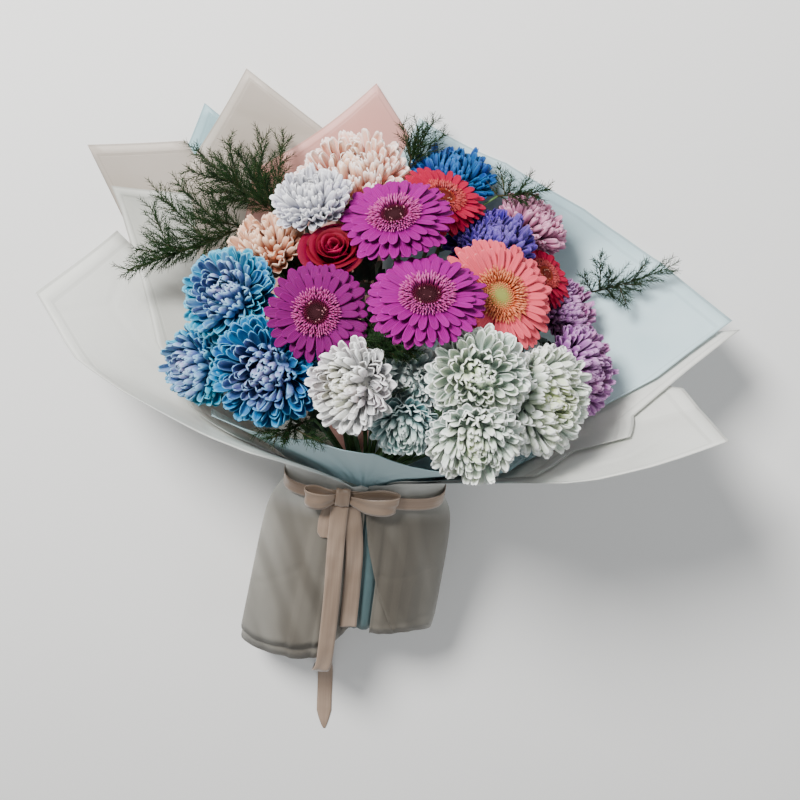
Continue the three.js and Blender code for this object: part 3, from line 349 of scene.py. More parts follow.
# %% A petal from a grid
def petal_pattern(name, rows, across=4, ribs=(), thick=0.02):
    """rows: how far along, half the width, the rise, and the lift of the edges."""
    petal = start_from(
        bpy.ops.mesh.primitive_grid_add, name,
        x_subdivisions=across, y_subdivisions=len(rows) - 1, size=1, location=(0, 0, 0)
    )
    bpy.ops.object.mode_set(mode="EDIT")
    shape = bmesh.from_edit_mesh(petal.data)
    shape.verts.ensure_lookup_table()

    def choose(test):
        for vertex in shape.verts:
            vertex.select = test(vertex.index // (across + 1), vertex.index % (across + 1))
        shape.select_flush(True)
        bmesh.update_edit_mesh(petal.data)

    for k, (along, half, rise, lift) in enumerate(rows):
        choose(lambda row, column: row == k)
        bpy.ops.transform.resize(value=(2 * half, 1, 1), center_override=(0, 0, 0))
        bpy.ops.transform.translate(value=(0, along - (k / (len(rows) - 1) - 0.5), rise))
        for step in range((across + 1) // 2):
            edge = (1 - 2 * step / across) ** 2
            choose(lambda row, column: row == k and column in (step, across - step))
            bpy.ops.transform.translate(value=(0, 0, lift * edge))
    for column_at, rib in enumerate(ribs):
        if rib:
            choose(lambda row, column: column == column_at and 0 < row < len(rows) - 1)
            bpy.ops.transform.translate(value=(0, 0, rib))
    bpy.ops.object.mode_set(mode="OBJECT")
    thicken(petal, thick)
    return take_pattern(petal)


def take_pattern(model):
    """Reads a modelled piece as arrays, ready to be copied, and clears the model away."""
    mesh = model.data
    points = np.empty(len(mesh.vertices) * 3)
    mesh.vertices.foreach_get("co", points)
    corners = np.empty(len(mesh.loops), dtype=np.int32)
    mesh.loops.foreach_get("vertex_index", corners)
    sizes = np.empty(len(mesh.polygons), dtype=np.int32)
    mesh.polygons.foreach_get("loop_total", sizes)
    own_map = np.zeros(len(mesh.loops) * 2)
    if mesh.uv_layers:
        mesh.uv_layers[0].data.foreach_get("uv", own_map)
    print("pattern", model.name, len(points) // 3, "points", len(sizes), "faces")
    bpy.data.objects.remove(model)
    bpy.data.meshes.remove(mesh)
    return {
        "points": points.reshape(-1, 3),
        "corners": corners,
        "sizes": sizes,
        "map": own_map.reshape(-1, 2),
    }


# %% One mesh from many copies
class Pile:
    """Copies of patterns, piled into one mesh. Each copy gets a tint of three values."""

    def __init__(self):
        self.points, self.corners, self.sizes = [], [], []
        self.maps, self.tints, self.looks, self.count = [], [], [], 0

    def add(self, pattern, points, tint=(0.5, 0.5, 0.5), look=0):
        self.points.append(points)
        self.corners.append(pattern["corners"] + self.count)
        self.sizes.append(pattern["sizes"])
        self.maps.append(pattern["map"])
        self.tints.append(np.tile([*tint, 1.0], (len(points), 1)))
        self.looks.append(np.full(len(pattern["sizes"]), look, dtype=np.int32))
        self.count += len(points)

    def make(self, name, materials):
        mesh = bpy.data.meshes.new(name)
        points = np.concatenate(self.points)
        corners = np.concatenate(self.corners)
        sizes = np.concatenate(self.sizes)
        mesh.vertices.add(len(points))
        mesh.vertices.foreach_set("co", points.ravel())
        mesh.loops.add(len(corners))
        mesh.loops.foreach_set("vertex_index", corners)
        mesh.polygons.add(len(sizes))
        mesh.polygons.foreach_set("loop_start", np.concatenate([[0], np.cumsum(sizes)[:-1]]))
        mesh.polygons.foreach_set("material_index", np.concatenate(self.looks))
        mesh.update(calc_edges=True)
        own_map = mesh.uv_layers.new(name="own")
        own_map.data.foreach_set("uv", np.concatenate(self.maps).ravel())
        tint = mesh.color_attributes.new("tint", "FLOAT_COLOR", "POINT")
        tint.data.foreach_set("color", np.concatenate(self.tints).ravel())
        mesh.polygons.foreach_set("use_smooth", np.full(len(sizes), True))
        for material in materials:
            mesh.materials.append(material)
        piece = bpy.data.objects.new(name, mesh)
        bpy.context.scene.collection.objects.link(piece)
        print(name, len(points), "points", int((sizes - 2).sum()), "triangles")
        return piece


def settle(piece, node):
    """A finished piece, which already has its finish, stands for its solid and moves with the bunch."""
    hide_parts(node)
    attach(piece, "root")
    return piece


# %% [markdown]
# ## Where the flowers stand
#
# Each flower has its place from the front, its breadth, and the way it looks: how far it is
# turned and lifted. A few have the way that their stem leaves them. Where two flowers crowd
# each other, a wall is set in their overlap, nearer to the one that gives way less: petals
# that would pass it are shortened, as they are pressed short in a tight bunch.

# %% The flowers
GERBERA, MUM, ROSE = "gerbera", "chrysanthemum", "rose"
FLOWERS = [
    ("gerbera_magenta_top", GERBERA, (33, 256, 173), 112, (-10, 40), None),
    ("gerbera_magenta_middle", GERBERA, (62, 177, 223), 114, (0, 38), None),
    ("gerbera_magenta_left", GERBERA, (-37, 163, 227), 97, (-4, 8), None),
    ("gerbera_salmon", GERBERA, (130, 182, 173), 120, (24, 14), None),
    ("gerbera_red_top", GERBERA, (80, 283, 108), 95, (20, 38), None),
    ("gerbera_red_right", GERBERA, (181, 210, 84), 72, (38, 24), None),
    ("rose_red", ROSE, (-23, 224, 168), 68, (-8, 30), None),
    ("chrysanthemum_peach_top", MUM, (-5, 302, 91), 120, (-4, 40), None),
    ("chrysanthemum_peach_left", MUM, (-93, 233, 116), 84, (-30, 42), None),
    ("chrysanthemum_grey_upper", MUM, (-46, 273, 154), 78, (-14, 45), None),
    ("chrysanthemum_blue_upper", MUM, (-124, 185, 160), 93, (-18, 12), None),
    ("chrysanthemum_blue_lower", MUM, (-83, 112, 203), 104, (-14, -8), None),
    ("chrysanthemum_blue_left", MUM, (-160, 119, 111), 84, (-42, -8), None),
    ("chrysanthemum_white_left", MUM, (-5, 99, 240), 88, (-34, -8), (-0.25, 0, -1)),
    ("chrysanthemum_white_middle", MUM, (43, 102, 196), 80, (0, -10), None),
    ("chrysanthemum_mint_low", MUM, (41, 63, 208), 66, (-6, -45), (-0.1, -0.02, -1)),
    ("chrysanthemum_cream_middle", MUM, (107, 106, 224), 94, (2, -4), None),
    ("chrysanthemum_cream_right", MUM, (167, 88, 165), 110, (40, -6), None),
    ("chrysanthemum_cream_low", MUM, (105, 50, 222), 87, (4, -40), (-0.3, 0, -1)),
    ("chrysanthemum_lilac_low", MUM, (212, 115, 105), 91, (54, 0), None),
    ("chrysanthemum_lilac_upper", MUM, (204, 176, 52), 78, (50, 20), None),
    ("chrysanthemum_violet", MUM, (125, 239, 112), 94, (22, 42), None),
    ("chrysanthemum_blue_top", MUM, (90, 311, 58), 90, (14, 60), (0, -0.7, -0.7)),
    ("chrysanthemum_pink_right", MUM, (171, 262, 55), 80, (44, 38), None),
]
HALF_DEPTH = {GERBERA: 0.2, MUM: 0.6, ROSE: 0.7}  # as a part of the radius
GIVE = {GERBERA: 0.3, MUM: 1.0, ROSE: 0.6}  # how much of an overlap a flower gives way to
GERBERA_FOOT = 13 * MM  # from a gerbera's face to where its stem starts
CROWDED, WALL_GAP, TOP_GAP = 8 * MM, 0.2 * MM, 0.3 * MM
TRIED_TURNS = [0.12 * step for step in range(-8, 9)]  # of a wall, to both sides


class Flower:
    def __init__(self, number, name, kind, at, across, face, stem_way):
        self.name, self.kind = name, kind
        self.centre = front_place(*at)
        self.radius = across / 2 * MM
        self.depth = self.radius * HALF_DEPTH[kind]
        self.normal = front_way(*face)
        self.walls = []
        self.draw = random.Random(400 + number)
        self.stem_way = (FACE @ Vector(stem_way)).normalized() if stem_way else -self.normal
        foot = {GERBERA: GERBERA_FOOT, MUM: 0.42 * self.radius, ROSE: 0.7 * self.radius}[kind]
        self.foot = self.centre + self.stem_way * foot
        x = Vector((0, 0, 1)).cross(self.normal).normalized()
        self.axes = np.array([x, self.normal.cross(x), self.normal])

    def reach(self, way):
        along = way.dot(self.normal)
        across = math.sqrt(max(0.0, 1 - along * along))
        return math.hypot(self.radius * across, self.depth * along)


flowers = [Flower(i, *row) for i, row in enumerate(FLOWERS)]


def wall_between(a, b):
    """The way across which two flowers overlap least, the room there, and the wall's place."""
    straight = (b.centre - a.centre).normalized()
    turn_a = Vector((0, 0, 1)).cross(straight).normalized()
    turn_b = straight.cross(turn_a)
    best = None
    for i in TRIED_TURNS:
        for j in TRIED_TURNS:
            way = (straight + turn_a * i + turn_b * j).normalized()
            start = a.centre.dot(way) + a.reach(way)
            end = b.centre.dot(way) - b.reach(way)
            if best is None or end - start > best[1]:
                share = GIVE[a.kind] / (GIVE[a.kind] + GIVE[b.kind])
                best = (way, end - start, start + (end - start) * share)
    return best


neighbours = []
for i, a in enumerate(flowers):
    for b in flowers[i + 1:]:
        way, room, at = wall_between(a, b)
        if room <= CROWDED:
            a.walls.append((np.array(way), at - WALL_GAP))
            b.walls.append((-np.array(way), -at - WALL_GAP))
            neighbours.append((a, b))
for flower in flowers:  # and nothing grows above the top of the frame
    flower.walls.append((UP, frame_box[1][2] - TOP_GAP))
print("flowers", len(flowers), "walls", len(neighbours))

# %% [markdown]
# ## The papers' shape
#
# All the sheets follow one family of surfaces round the axis: an oval where the ribbon
# holds them, a wide cone above it and a loose sleeve below it. Each sheet is one layer of
# the family, so no two of them cross. Behind, the cone is pressed flat by the table.
# A sheet's row gives its layer, its rim's corners and its tail's corners. A corner is an
# azimuth in degrees, from the front to the right, and how far it is from the binding.

# %% The family of papers
WAIST_WIDTH, WAIST_DEPTH, WAIST_LENGTH = 80.0, 21.0, 10.0
LAYER_STEP, LAYER_SPREAD, FLOOR_STEP = 2.3, 1.1, 1.4
OPENING, SKIRT_FLARE, FLARE_LENGTH = 1.7, 14.0, 20
BACK_SAG, SAG_START, SAG_LENGTH = 16.0, 48, 262
PAPER = 0.7  # the solid's sheets; the sheets made here are thinner
CONE_AT = [-180, -150, -120, -90, -60, -30, 0, 30, 60, 90, 120, 150, 180]
CONE = [38, 46, 55.8, 62.6, 51.4, 41, 39, 47, 56.4, 62.6, 55.8, 46, 38]
SHEETS = {
    "sheet_mint_front": (0, [(-88, 82), (-68, 124), (-45, 140), (-20, 136), (3, 140), (24, 132),
                             (45, 136), (80, 92)], [(-88, 150), (-60, 205), (60, 205), (80, 150)]),
    "sheet_mint_right": (1, [(72, 92), (83, 90), (93, 104), (97, 155), (102, 208), (118, 219),
                             (137, 244), (156, 276), (177, 312), (183, 252)], [(72, 200), (183, 200)]),
    "sheet_pink_back": (2, [(174, 268), (187, 334), (214, 242), (232, 150)], [(174, 215), (232, 215)]),
    "sheet_white_low_right": (2, [(40, 40), (60, 116), (80, 105), (82.5, 130), (91, 126), (101, 201),
                                  (112, 150)], [(40, 210), (112, 210)]),
    "sheet_white_back": (3, [(188, 262), (208, 325), (225, 236), (246, 124)], [(188, 230), (246, 230)]),
    "sheet_white_right": (3, [(8, 14), (55, 144), (67, 161), (76, 180), (95, 151), (110, 120)],
                          [(8, 16), (60, 205), (84, 214), (90, 186), (110, 180)]),
    "sheet_white_left_inner": (4, [(218, 212), (238.5, 216), (258, 117), (270, 78), (285, 74),
                                   (340, 14)], [(218, 236), (246, 284), (300, 262), (340, 243)]),
    "sheet_mint_tip": (7, [(200, 215), (213, 281), (232, 186)], [(200, 231), (232, 226)]),
    "sheet_white_left_front": (5, [(243, 182), (262, 162), (279, 120), (306, 98), (368, 14)],
                               [(243, 262), (282, 254), (320, 232), (350, 218), (368, 196)]),
    "sheet_white_left_outer": (6, [(219.5, 251), (233.5, 242), (250, 130)], [(219.5, 242), (250, 240)]),
}
FOLD_STEP = 20
FOLDS = np.arange(0, 361, FOLD_STEP)
WHOLE_TURNS = (-360, 0, 360)


def crossing(test):
    """At each fold, how many of the sheets whose layer passes the test are there."""
    counts = []
    for fold in FOLDS:
        here = 0
        for layer, top, _ in SHEETS.values():
            here += test(layer) and any(
                top[0][0] - FOLD_STEP < fold + whole < top[-1][0] + FOLD_STEP for whole in WHOLE_TURNS
            )
        counts.append(here)
    return np.array(counts, dtype=float)


INSIDE = {layer: crossing(lambda other: other < layer) for layer in range(8)}
OUTSIDE = {layer: crossing(lambda other: other > layer) for layer in range(8)}


def cone_angle(azimuth):
    return np.interp((np.asarray(azimuth, dtype=float) + 180) % 360 - 180, CONE_AT, CONE)


def paper_radius(azimuth, along, layer):
    """A layer's distance from the axis, in millimetres."""
    turn = np.radians(azimuth)
    out = LAYER_STEP * np.interp(np.mod(azimuth, 360), FOLDS, INSIDE[layer])
    a, b = WAIST_WIDTH + out, WAIST_DEPTH + out
    waist = a * b / np.hypot(b * np.sin(turn), a * np.cos(turn))
    opened = np.maximum(0, along - WAIST_LENGTH) * np.tan(
        np.radians(cone_angle(azimuth) + LAYER_SPREAD * layer)
    )
    above = (waist ** OPENING + opened ** OPENING) ** (1 / OPENING)
    below = np.maximum(0, -along - WAIST_LENGTH)
    flare = SKIRT_FLARE * (1 - np.exp(-below / FLARE_LENGTH)) * np.abs(np.sin(turn))
    sag = BACK_SAG * np.maximum(0, -np.cos(turn)) * np.maximum(0, below - SAG_START) / SAG_LENGTH
    widening = below * (0.05 - 0.04 * np.sin(turn))
    return np.where(along >= 0, above, waist + flare + sag + widening)


def around_axis(azimuth, along, radius):
    """Points round the bunch's axis, in metres, from arrays in degrees and millimetres."""
    turn = np.radians(azimuth)[..., None]
    along, radius = np.asarray(along)[..., None] * MM, np.asarray(radius)[..., None] * MM
    return (
        np.array(BINDING)
        + along * np.array(AXIS)
        + radius * (np.sin(turn) * np.array(SIDE) + np.cos(turn) * np.array(FRONT))
    )


PETAL_ROOM, LEAF_ROOM, NEEDLE_ROOM, TABLE_ROOM = 2.5 * MM, 1.2 * MM, 1.5 * MM, 13 * MM
OPEN_FRONT, OPEN_ABOVE = 100, 140  # in front of this azimuth and above this height it is open
DRAW_BACK, DRAWS = 0.9, 7


def kept_inside(points, root, room=PETAL_ROOM):
    """Draws a petal's points back to its root where they would pass the innermost paper."""
    part = np.ones(len(points))
    for _ in range(DRAWS):
        place = root + (points - root) * part[:, None]
        offset = place - np.array(BINDING)
        along = offset @ np.array(AXIS) / MM
        right, front = offset @ np.array(SIDE), offset @ np.array(FRONT)
        azimuth = np.degrees(np.arctan2(right, front))
        limit = paper_radius(azimuth, along, 0) * MM - room
        free = (np.abs(azimuth) < OPEN_FRONT) & (along > OPEN_ABOVE)
        wrong = ((np.hypot(right, front) > limit) & ~free) | (place[:, 2] < TABLE_ROOM)
        if not wrong.any():
            break
        part[wrong] *= DRAW_BACK
    return root + (points - root) * part[:, None]


def fits(points):
    """Whether a leaf is inside the papers and above the table as it is."""
    return np.allclose(kept_inside(points, points[0], LEAF_ROOM), points)


def clear_of_flowers(point, room=1.5 * MM):
    """Whether a point is outside every flower's rounded form."""
    for flower in flowers:
        local = flower.axes @ (point - np.array(flower.centre))
        across = math.hypot(local[0], local[1]) / (flower.radius + room)
        if across ** 2 + (local[2] / (flower.depth + room)) ** 2 < 1:
            return False
    return True


print("radius at the waist", paper_radius(np.array([0.0, 90.0, 180.0]), np.zeros(3), 0))

# %% [markdown]
# ## Petals that press on each other
#
# A petal's copy is turned so that its length runs from its root to its tip. If any point
# of it passes a wall, the whole petal is shortened until it doesn't.


# %% Placing a petal
def place_petal(pattern, root, tip, face, width, depth=1.0, roll=0.0):
    """root and tip are points, face is the way the petal's inner side looks."""
    along = tip - root
    length = np.linalg.norm(along)
    y = along / length
    z = unit(face - y * (face @ y))
    x = np.cross(y, z)
    if roll:
        x, z = x * math.cos(roll) + z * math.sin(roll), z * math.cos(roll) - x * math.sin(roll)
    across, forward, rise = pattern["points"].T
    points = root + np.outer(across * width, x) + np.outer(forward * length, y)
    return points + np.outer(rise * length * depth, z)


SHORTEST = 0.22  # a petal that would keep less of its length than this isn't made


def pressed(flower, root, points):
    """Shortens a petal at the flower's walls and papers; None where nothing would be left."""
    part = 1.0
    for way, at in flower.walls:
        reach = (points @ way).max()
        if reach > at:
            start = root @ way
            if start >= at:
                return None
            part = min(part, (at - start) / (reach - start))
    if part < SHORTEST:
        return None
    return kept_inside(root + (points - root) * part, root)


# %% [markdown]
# ## Chrysanthemums
#
# A big chrysanthemum is a ball of scoops. They stand in a spiral, each turned by the golden
# angle from the last. Those in the middle close over the heart, and those outside open and
# show their pale rims. Three scoops are modelled, and each flower takes between them.

# %% Three scoops
HOOK = petal_pattern("hook", [
    (0.0, 0.14, 0.00, 0.02), (0.25, 0.24, -0.03, 0.07), (0.48, 0.36, -0.01, 0.13),
    (0.68, 0.46, 0.06, 0.19), (0.84, 0.46, 0.17, 0.21), (0.95, 0.34, 0.29, 0.17),
    (0.98, 0.13, 0.38, 0.08),
])
SCOOP = petal_pattern("scoop", [
    (0.0, 0.12, 0.00, 0.02), (0.28, 0.20, -0.03, 0.06), (0.52, 0.33, -0.03, 0.10),
    (0.70, 0.46, 0.01, 0.15), (0.85, 0.47, 0.08, 0.17), (0.96, 0.34, 0.16, 0.14),
    (1.02, 0.12, 0.22, 0.06),
])
BLADE = petal_pattern("blade", [
    (0.0, 0.12, 0.00, 0.02), (0.30, 0.22, 0.01, 0.05), (0.55, 0.37, 0.01, 0.08),
    (0.75, 0.47, 0.01, 0.11), (0.89, 0.43, 0.02, 0.12), (0.98, 0.29, 0.05, 0.09),
    (1.02, 0.11, 0.08, 0.04),
])


# %% The ball of scoops
DOME = take_pattern(
    start_from(bpy.ops.mesh.primitive_uv_sphere_add, "dome", segments=16, ring_count=10, radius=1)
)


def add_dome(pile, flower, across, high, rise, tint, look=0):
    """An inner body: so wide and high from its middle, and raised along the flower's way."""
    dome = DOME["points"] * [across, across, high]
    pile.add(DOME, np.array(flower.centre) + (dome + [0, 0, rise]) @ flower.axes, tint, look)


def outward(turn):
    return np.array([math.cos(turn), math.sin(turn), 0])


HEART_ANGLE, OPEN_ANGLE = 5, 108  # in degrees: how far the first and the last scoop lean out
HOOKS_TO, SCOOPS_TO = 0.35, 0.78  # the parts of the spiral that take each scoop
RAGGED = 0.10  # how unequal the scoops' lengths are


def chrysanthemum(flower, count, width):
    """count scoops, each so wide as a part of the radius."""
    pile = Pile()
    draw, R, D = flower.draw, flower.radius, flower.depth
    centre, axes = np.array(flower.centre), flower.axes
    add_dome(pile, flower, 0.5 * R, 0.5 * D, -0.08 * R, (0.5, 0.2, 0.0))
    for i in range(count):
        far = (i + 0.5) / count
        polar = math.radians(HEART_ANGLE + OPEN_ANGLE * far ** 0.6 + draw.uniform(-2, 2))
        way = outward(i * GOLDEN_ANGLE + draw.uniform(-0.09, 0.09))
        root = way * 0.26 * R * math.sin(polar * 0.85) + [0, 0, 0.24 * D * math.cos(polar) - 0.1 * R]
        size = 0.97 + draw.uniform(-RAGGED, RAGGED) - 0.05 * (far < 0.2)
        tip = size * (way * R * math.sin(polar) + [0, 0, D * math.cos(polar)])
        root, tip = centre + root @ axes, centre + tip @ axes
        face = (UP - way * 0.25) @ axes
        pattern = HOOK if far < HOOKS_TO else SCOOP if far < SCOOPS_TO else BLADE
        wide = R * width * (0.60 + 0.5 * far) * draw.uniform(0.88, 1.14)
        depth, roll = draw.uniform(0.8, 1.25), draw.uniform(-0.4, 0.4)
        points = place_petal(pattern, root, tip, face, wide, depth, roll)
        points = pressed(flower, root, points)
        if points is not None:
            pile.add(pattern, points, (draw.random(), far, draw.random()))
    return pile


# %% Petal finish
def petal_finish(name, stops, rim, shade, patch=None, patch_part=0.5, rim_part=0.42, thin=0.12):
    """stops: the colour from the heart outwards. rim: a petal's edge, partly its own paler colour and
    partly painted highlight.
    shade: the painted shade at its foot. patch: a second dye that took in places. thin: how much light
    goes through."""
    s = Shades(name, Roughness=0.62, Subsurface_Weight=thin, Subsurface_Scale=0.004,
               Subsurface_Radius=(1.0, 0.9, 0.8), Specular_IOR_Level=0.16)
    u, v = s.own()
    own_draw, far, _ = s.tint()
    dark = tuple(0.72 * c for c in stops[-1][1])
    tone = s.ramp(far, stops)
    if patch:
        tone = s.tinge(s.grey(s.noise(s.here(), 24, 2), 0.46, 0.62), patch_part, tone, patch)
    tone = s.tinge(own_draw, 0.3, tone, dark)
    side = s.from_middle(u)
    edge = s.grey(s.math("MAXIMUM", s.math("MULTIPLY", side, 0.93), v), 0.74, 1.0)
    veins = s.noise(s.stretched(u, v, 14, 1.3), 1.0, 2)
    # painted shade: the petal darkens towards its foot, where it lies deep among the others
    tone = s.mix(s.grey(v, 0.80, 0.20), tone, shade)
    tone = s.tinge(s.grey(veins, 0.40, 0.66), 0.38, tone, dark)
    # painted shade down the petal's middle, where its scoop is hollow
    tone = s.tinge(s.grey(side, 0.16, 0.0), 0.3, tone, dark)
    # the pale rim: partly the petal's own lighter edge, partly painted highlight where the edge catches
    # the light
    tone = s.tinge(edge, rim_part, tone, rim)
    return s.finish(tone, height=veins, bump=0.3, distance=0.0008)


# %% [markdown]
# The dyed heads are turquoise, deep blue or violet with a lavender heart, and the undyed
# ones are grey-white, cream and peach. The finish takes its colour from how far out a petal
# stands, paints shade at its foot and down its middle, and draws a pale rim, partly painted highlight.

# %% Colours of the chrysanthemums
# Each row: the stops from the heart out, the rim (partly painted highlight), the painted shade at the
# foot, the second dye, and where given its share, the rim's share and how much light goes through
COLOURS = {
    "blue": ([(0.0, (0.44, 0.38, 0.64)), (0.2, (0.27, 0.29, 0.60)), (0.42, (0.010, 0.19, 0.44)),
              (1.0, (0.001, 0.145, 0.34))],
             (0.15, 0.48, 0.68), (0.001, 0.012, 0.085), (0.035, 0.045, 0.38), 0.6, 0.5),
    "turquoise": ([(0.0, (0.50, 0.42, 0.70)), (0.22, (0.34, 0.38, 0.68)), (0.48, (0.022, 0.33, 0.52)),
                   (1.0, (0.002, 0.25, 0.41))],
                  (0.24, 0.62, 0.76), (0.001, 0.035, 0.14), (0.05, 0.10, 0.50), 0.5, 0.5),
    "deep_blue": ([(0.0, (0.05, 0.10, 0.40)), (0.5, (0.003, 0.028, 0.21)), (1.0, (0.001, 0.038, 0.20))],
                  (0.03, 0.19, 0.48), (0.0, 0.003, 0.04), (0.004, 0.15, 0.34), 0.5),
    "violet": ([(0.0, (0.22, 0.16, 0.52)), (0.5, (0.040, 0.012, 0.25)), (1.0, (0.018, 0.008, 0.19))],
               (0.22, 0.12, 0.52), (0.003, 0.0, 0.035), (0.018, 0.004, 0.19), 0.6, 0.45),
    "lilac": ([(0.0, (0.56, 0.28, 0.56)), (0.5, (0.36, 0.125, 0.39)), (1.0, (0.28, 0.085, 0.33))],
              (0.62, 0.38, 0.63), (0.06, 0.01, 0.07), (0.56, 0.15, 0.28), 0.5, 0.5),
    "dusty": ([(0.0, (0.64, 0.27, 0.42)), (1.0, (0.48, 0.14, 0.29))],
              (0.80, 0.48, 0.62), (0.10, 0.015, 0.05), (0.62, 0.28, 0.36), 0.5, 0.5),
    "white": ([(0.0, (0.84, 0.86, 0.60)), (0.3, (0.77, 0.78, 0.75)), (1.0, (0.70, 0.69, 0.71))],
              (1.0, 1.0, 1.0), (0.36, 0.36, 0.37), (0.74, 0.55, 0.66), 0.5, 0.85, 0.35),
    "cream": ([(0.0, (0.80, 0.90, 0.36)), (0.22, (0.80, 0.86, 0.66)), (1.0, (0.70, 0.78, 0.75))],
              (1.0, 1.0, 1.0), (0.30, 0.40, 0.35), (0.62, 0.80, 0.75), 0.5, 0.85, 0.35),
    "mint": ([(0.0, (0.62, 0.74, 0.64)), (0.5, (0.50, 0.68, 0.68)), (1.0, (0.33, 0.56, 0.58))],
             (0.90, 0.98, 0.98), (0.08, 0.19, 0.21), (0.18, 0.46, 0.48), 0.5, 0.75, 0.3),
    "frost": ([(0.0, (0.84, 0.92, 0.78)), (0.5, (0.74, 0.82, 0.81)), (1.0, (0.60, 0.72, 0.74))],
              (1.0, 1.0, 1.0), (0.28, 0.40, 0.42), (0.54, 0.74, 0.75), 0.5, 0.8, 0.35),
    "grey": ([(0.0, (0.74, 0.74, 0.79)), (1.0, (0.62, 0.63, 0.70))],
             (0.98, 0.98, 1.0), (0.24, 0.25, 0.31), (0.54, 0.48, 0.70), 0.5, 0.75, 0.3),
    "peach": ([(0.0, (0.92, 0.58, 0.34)), (0.3, (0.93, 0.58, 0.46)), (1.0, (0.90, 0.44, 0.38))],
              (1.0, 0.93, 0.90), (0.58, 0.14, 0.11), (0.95, 0.72, 0.58), 0.5, 0.8, 0.35),
    "apricot": ([(0.0, (0.86, 0.52, 0.32)), (1.0, (0.74, 0.36, 0.25))],
                (0.95, 0.78, 0.66), (0.34, 0.07, 0.04), (0.82, 0.50, 0.34), 0.5, 0.5),
}
FINISHES = {name: petal_finish(name + "_petals", *row) for name, row in COLOURS.items()}
print("finishes", list(FINISHES))

# %% All the chrysanthemums
MUMS = {
    "chrysanthemum_peach_top": (200, 0.22, "peach", "petals_peach"),
    "chrysanthemum_peach_left": (135, 0.26, "apricot", "petals_peach"),
    "chrysanthemum_grey_upper": (165, 0.245, "grey", "petals_grey"),
    "chrysanthemum_blue_upper": (165, 0.26, "turquoise", "petals_blue"),
    "chrysanthemum_blue_lower": (175, 0.25, "blue", "petals_blue"),
    "chrysanthemum_blue_left": (145, 0.28, "turquoise", "petals_blue"),
    "chrysanthemum_white_left": (175, 0.25, "white", "petals_grey"),
    "chrysanthemum_white_middle": (150, 0.27, "frost", "petals_mint"),
    "chrysanthemum_mint_low": (125, 0.30, "mint", "petals_mint"),
    "chrysanthemum_cream_middle": (185, 0.25, "cream", "petals_cream"),
    "chrysanthemum_cream_right": (230, 0.215, "cream", "petals_cream"),
    "chrysanthemum_cream_low": (180, 0.25, "cream", "petals_cream"),
    "chrysanthemum_lilac_low": (230, 0.19, "lilac", "petals_lilac"),
    "chrysanthemum_lilac_upper": (220, 0.20, "lilac", "petals_lilac"),
    "chrysanthemum_violet": (210, 0.22, "violet", "petals_violet"),
    "chrysanthemum_blue_top": (185, 0.23, "deep_blue", "petals_deep_blue"),
    "chrysanthemum_pink_right": (190, 0.21, "dusty", "petals_lilac"),
}
by_name = {flower.name: flower for flower in flowers}
for name, (count, width, finish, slot) in MUMS.items():
    piece = chrysanthemum(by_name[name], count, width).make(name + "_bloom", [FINISHES[finish]])
    settle(piece, name)

# %% [markdown]
# ## Gerberas
#
# A gerbera is flat: three rows of long ribbed rays, five rings of short thread-like florets,
# and a disc of buds. The rays of a row overlap, so each is tipped a little on its length.

# %% The ray, the thread and the bud
RAY = petal_pattern("ray", [
    (0.0, 0.20, 0.000, 0.010), (0.15, 0.28, 0.006, 0.016), (0.34, 0.39, 0.008, 0.020),
    (0.55, 0.48, 0.004, 0.020), (0.74, 0.50, -0.004, 0.016), (0.89, 0.45, -0.016, 0.010),
    (0.97, 0.27, -0.026, 0.004), (1.0, 0.11, -0.032, 0.0),
], across=6, ribs=(0, 0.006, -0.006, 0.007, -0.006, 0.006, 0), thick=0.012)
THREAD = petal_pattern("thread", [
    (0.0, 0.30, 0.0, 0.03), (0.4, 0.34, 0.10, 0.06), (0.75, 0.42, 0.10, 0.08), (1.0, 0.16, 0.0, 0.02),
], across=2, thick=0.05)


def bud_pattern():
    """A small bud: a cone drawn in at its foot and rounded at its top."""
    bud = start_from(
        bpy.ops.mesh.primitive_cylinder_add, "bud",
        vertices=6, radius=0.5, depth=1.0, location=(0, 0, 0.5)
    )
    bpy.ops.object.mode_set(mode="EDIT")
    shape = bmesh.from_edit_mesh(bud.data)
    for face in shape.faces:
        face.select = face.normal.z > 0.9
    bmesh.update_edit_mesh(bud.data)
    bpy.ops.mesh.inset(thickness=0.2)
    bpy.ops.transform.translate(value=(0, 0, 0.22))
    bpy.ops.object.mode_set(mode="OBJECT")
    bpy.ops.object.transform_apply(location=True)
    return take_pattern(bud)


BUD = bud_pattern()


# %% A gerbera and its heart
# Each row of rays: its reach and its tips' rise as parts of the radius, how high it starts in
# millimetres, and how wide its rays are beside the first row's.
RAY_ROWS = [(1.0, -0.03, -2.6, 1.0), (0.97, 0.04, -1.3, 0.98), (0.78, 0.13, 0.4, 0.86)]
FEWER_RAYS, RAY_OVERLAP = 3, 1.42
THREAD_RINGS, THREADS, FEWER_THREADS, THREAD_WIDTH = 5, 62, 6, 1.5 * MM
BUDS, HEART_PART = 150, 0.235


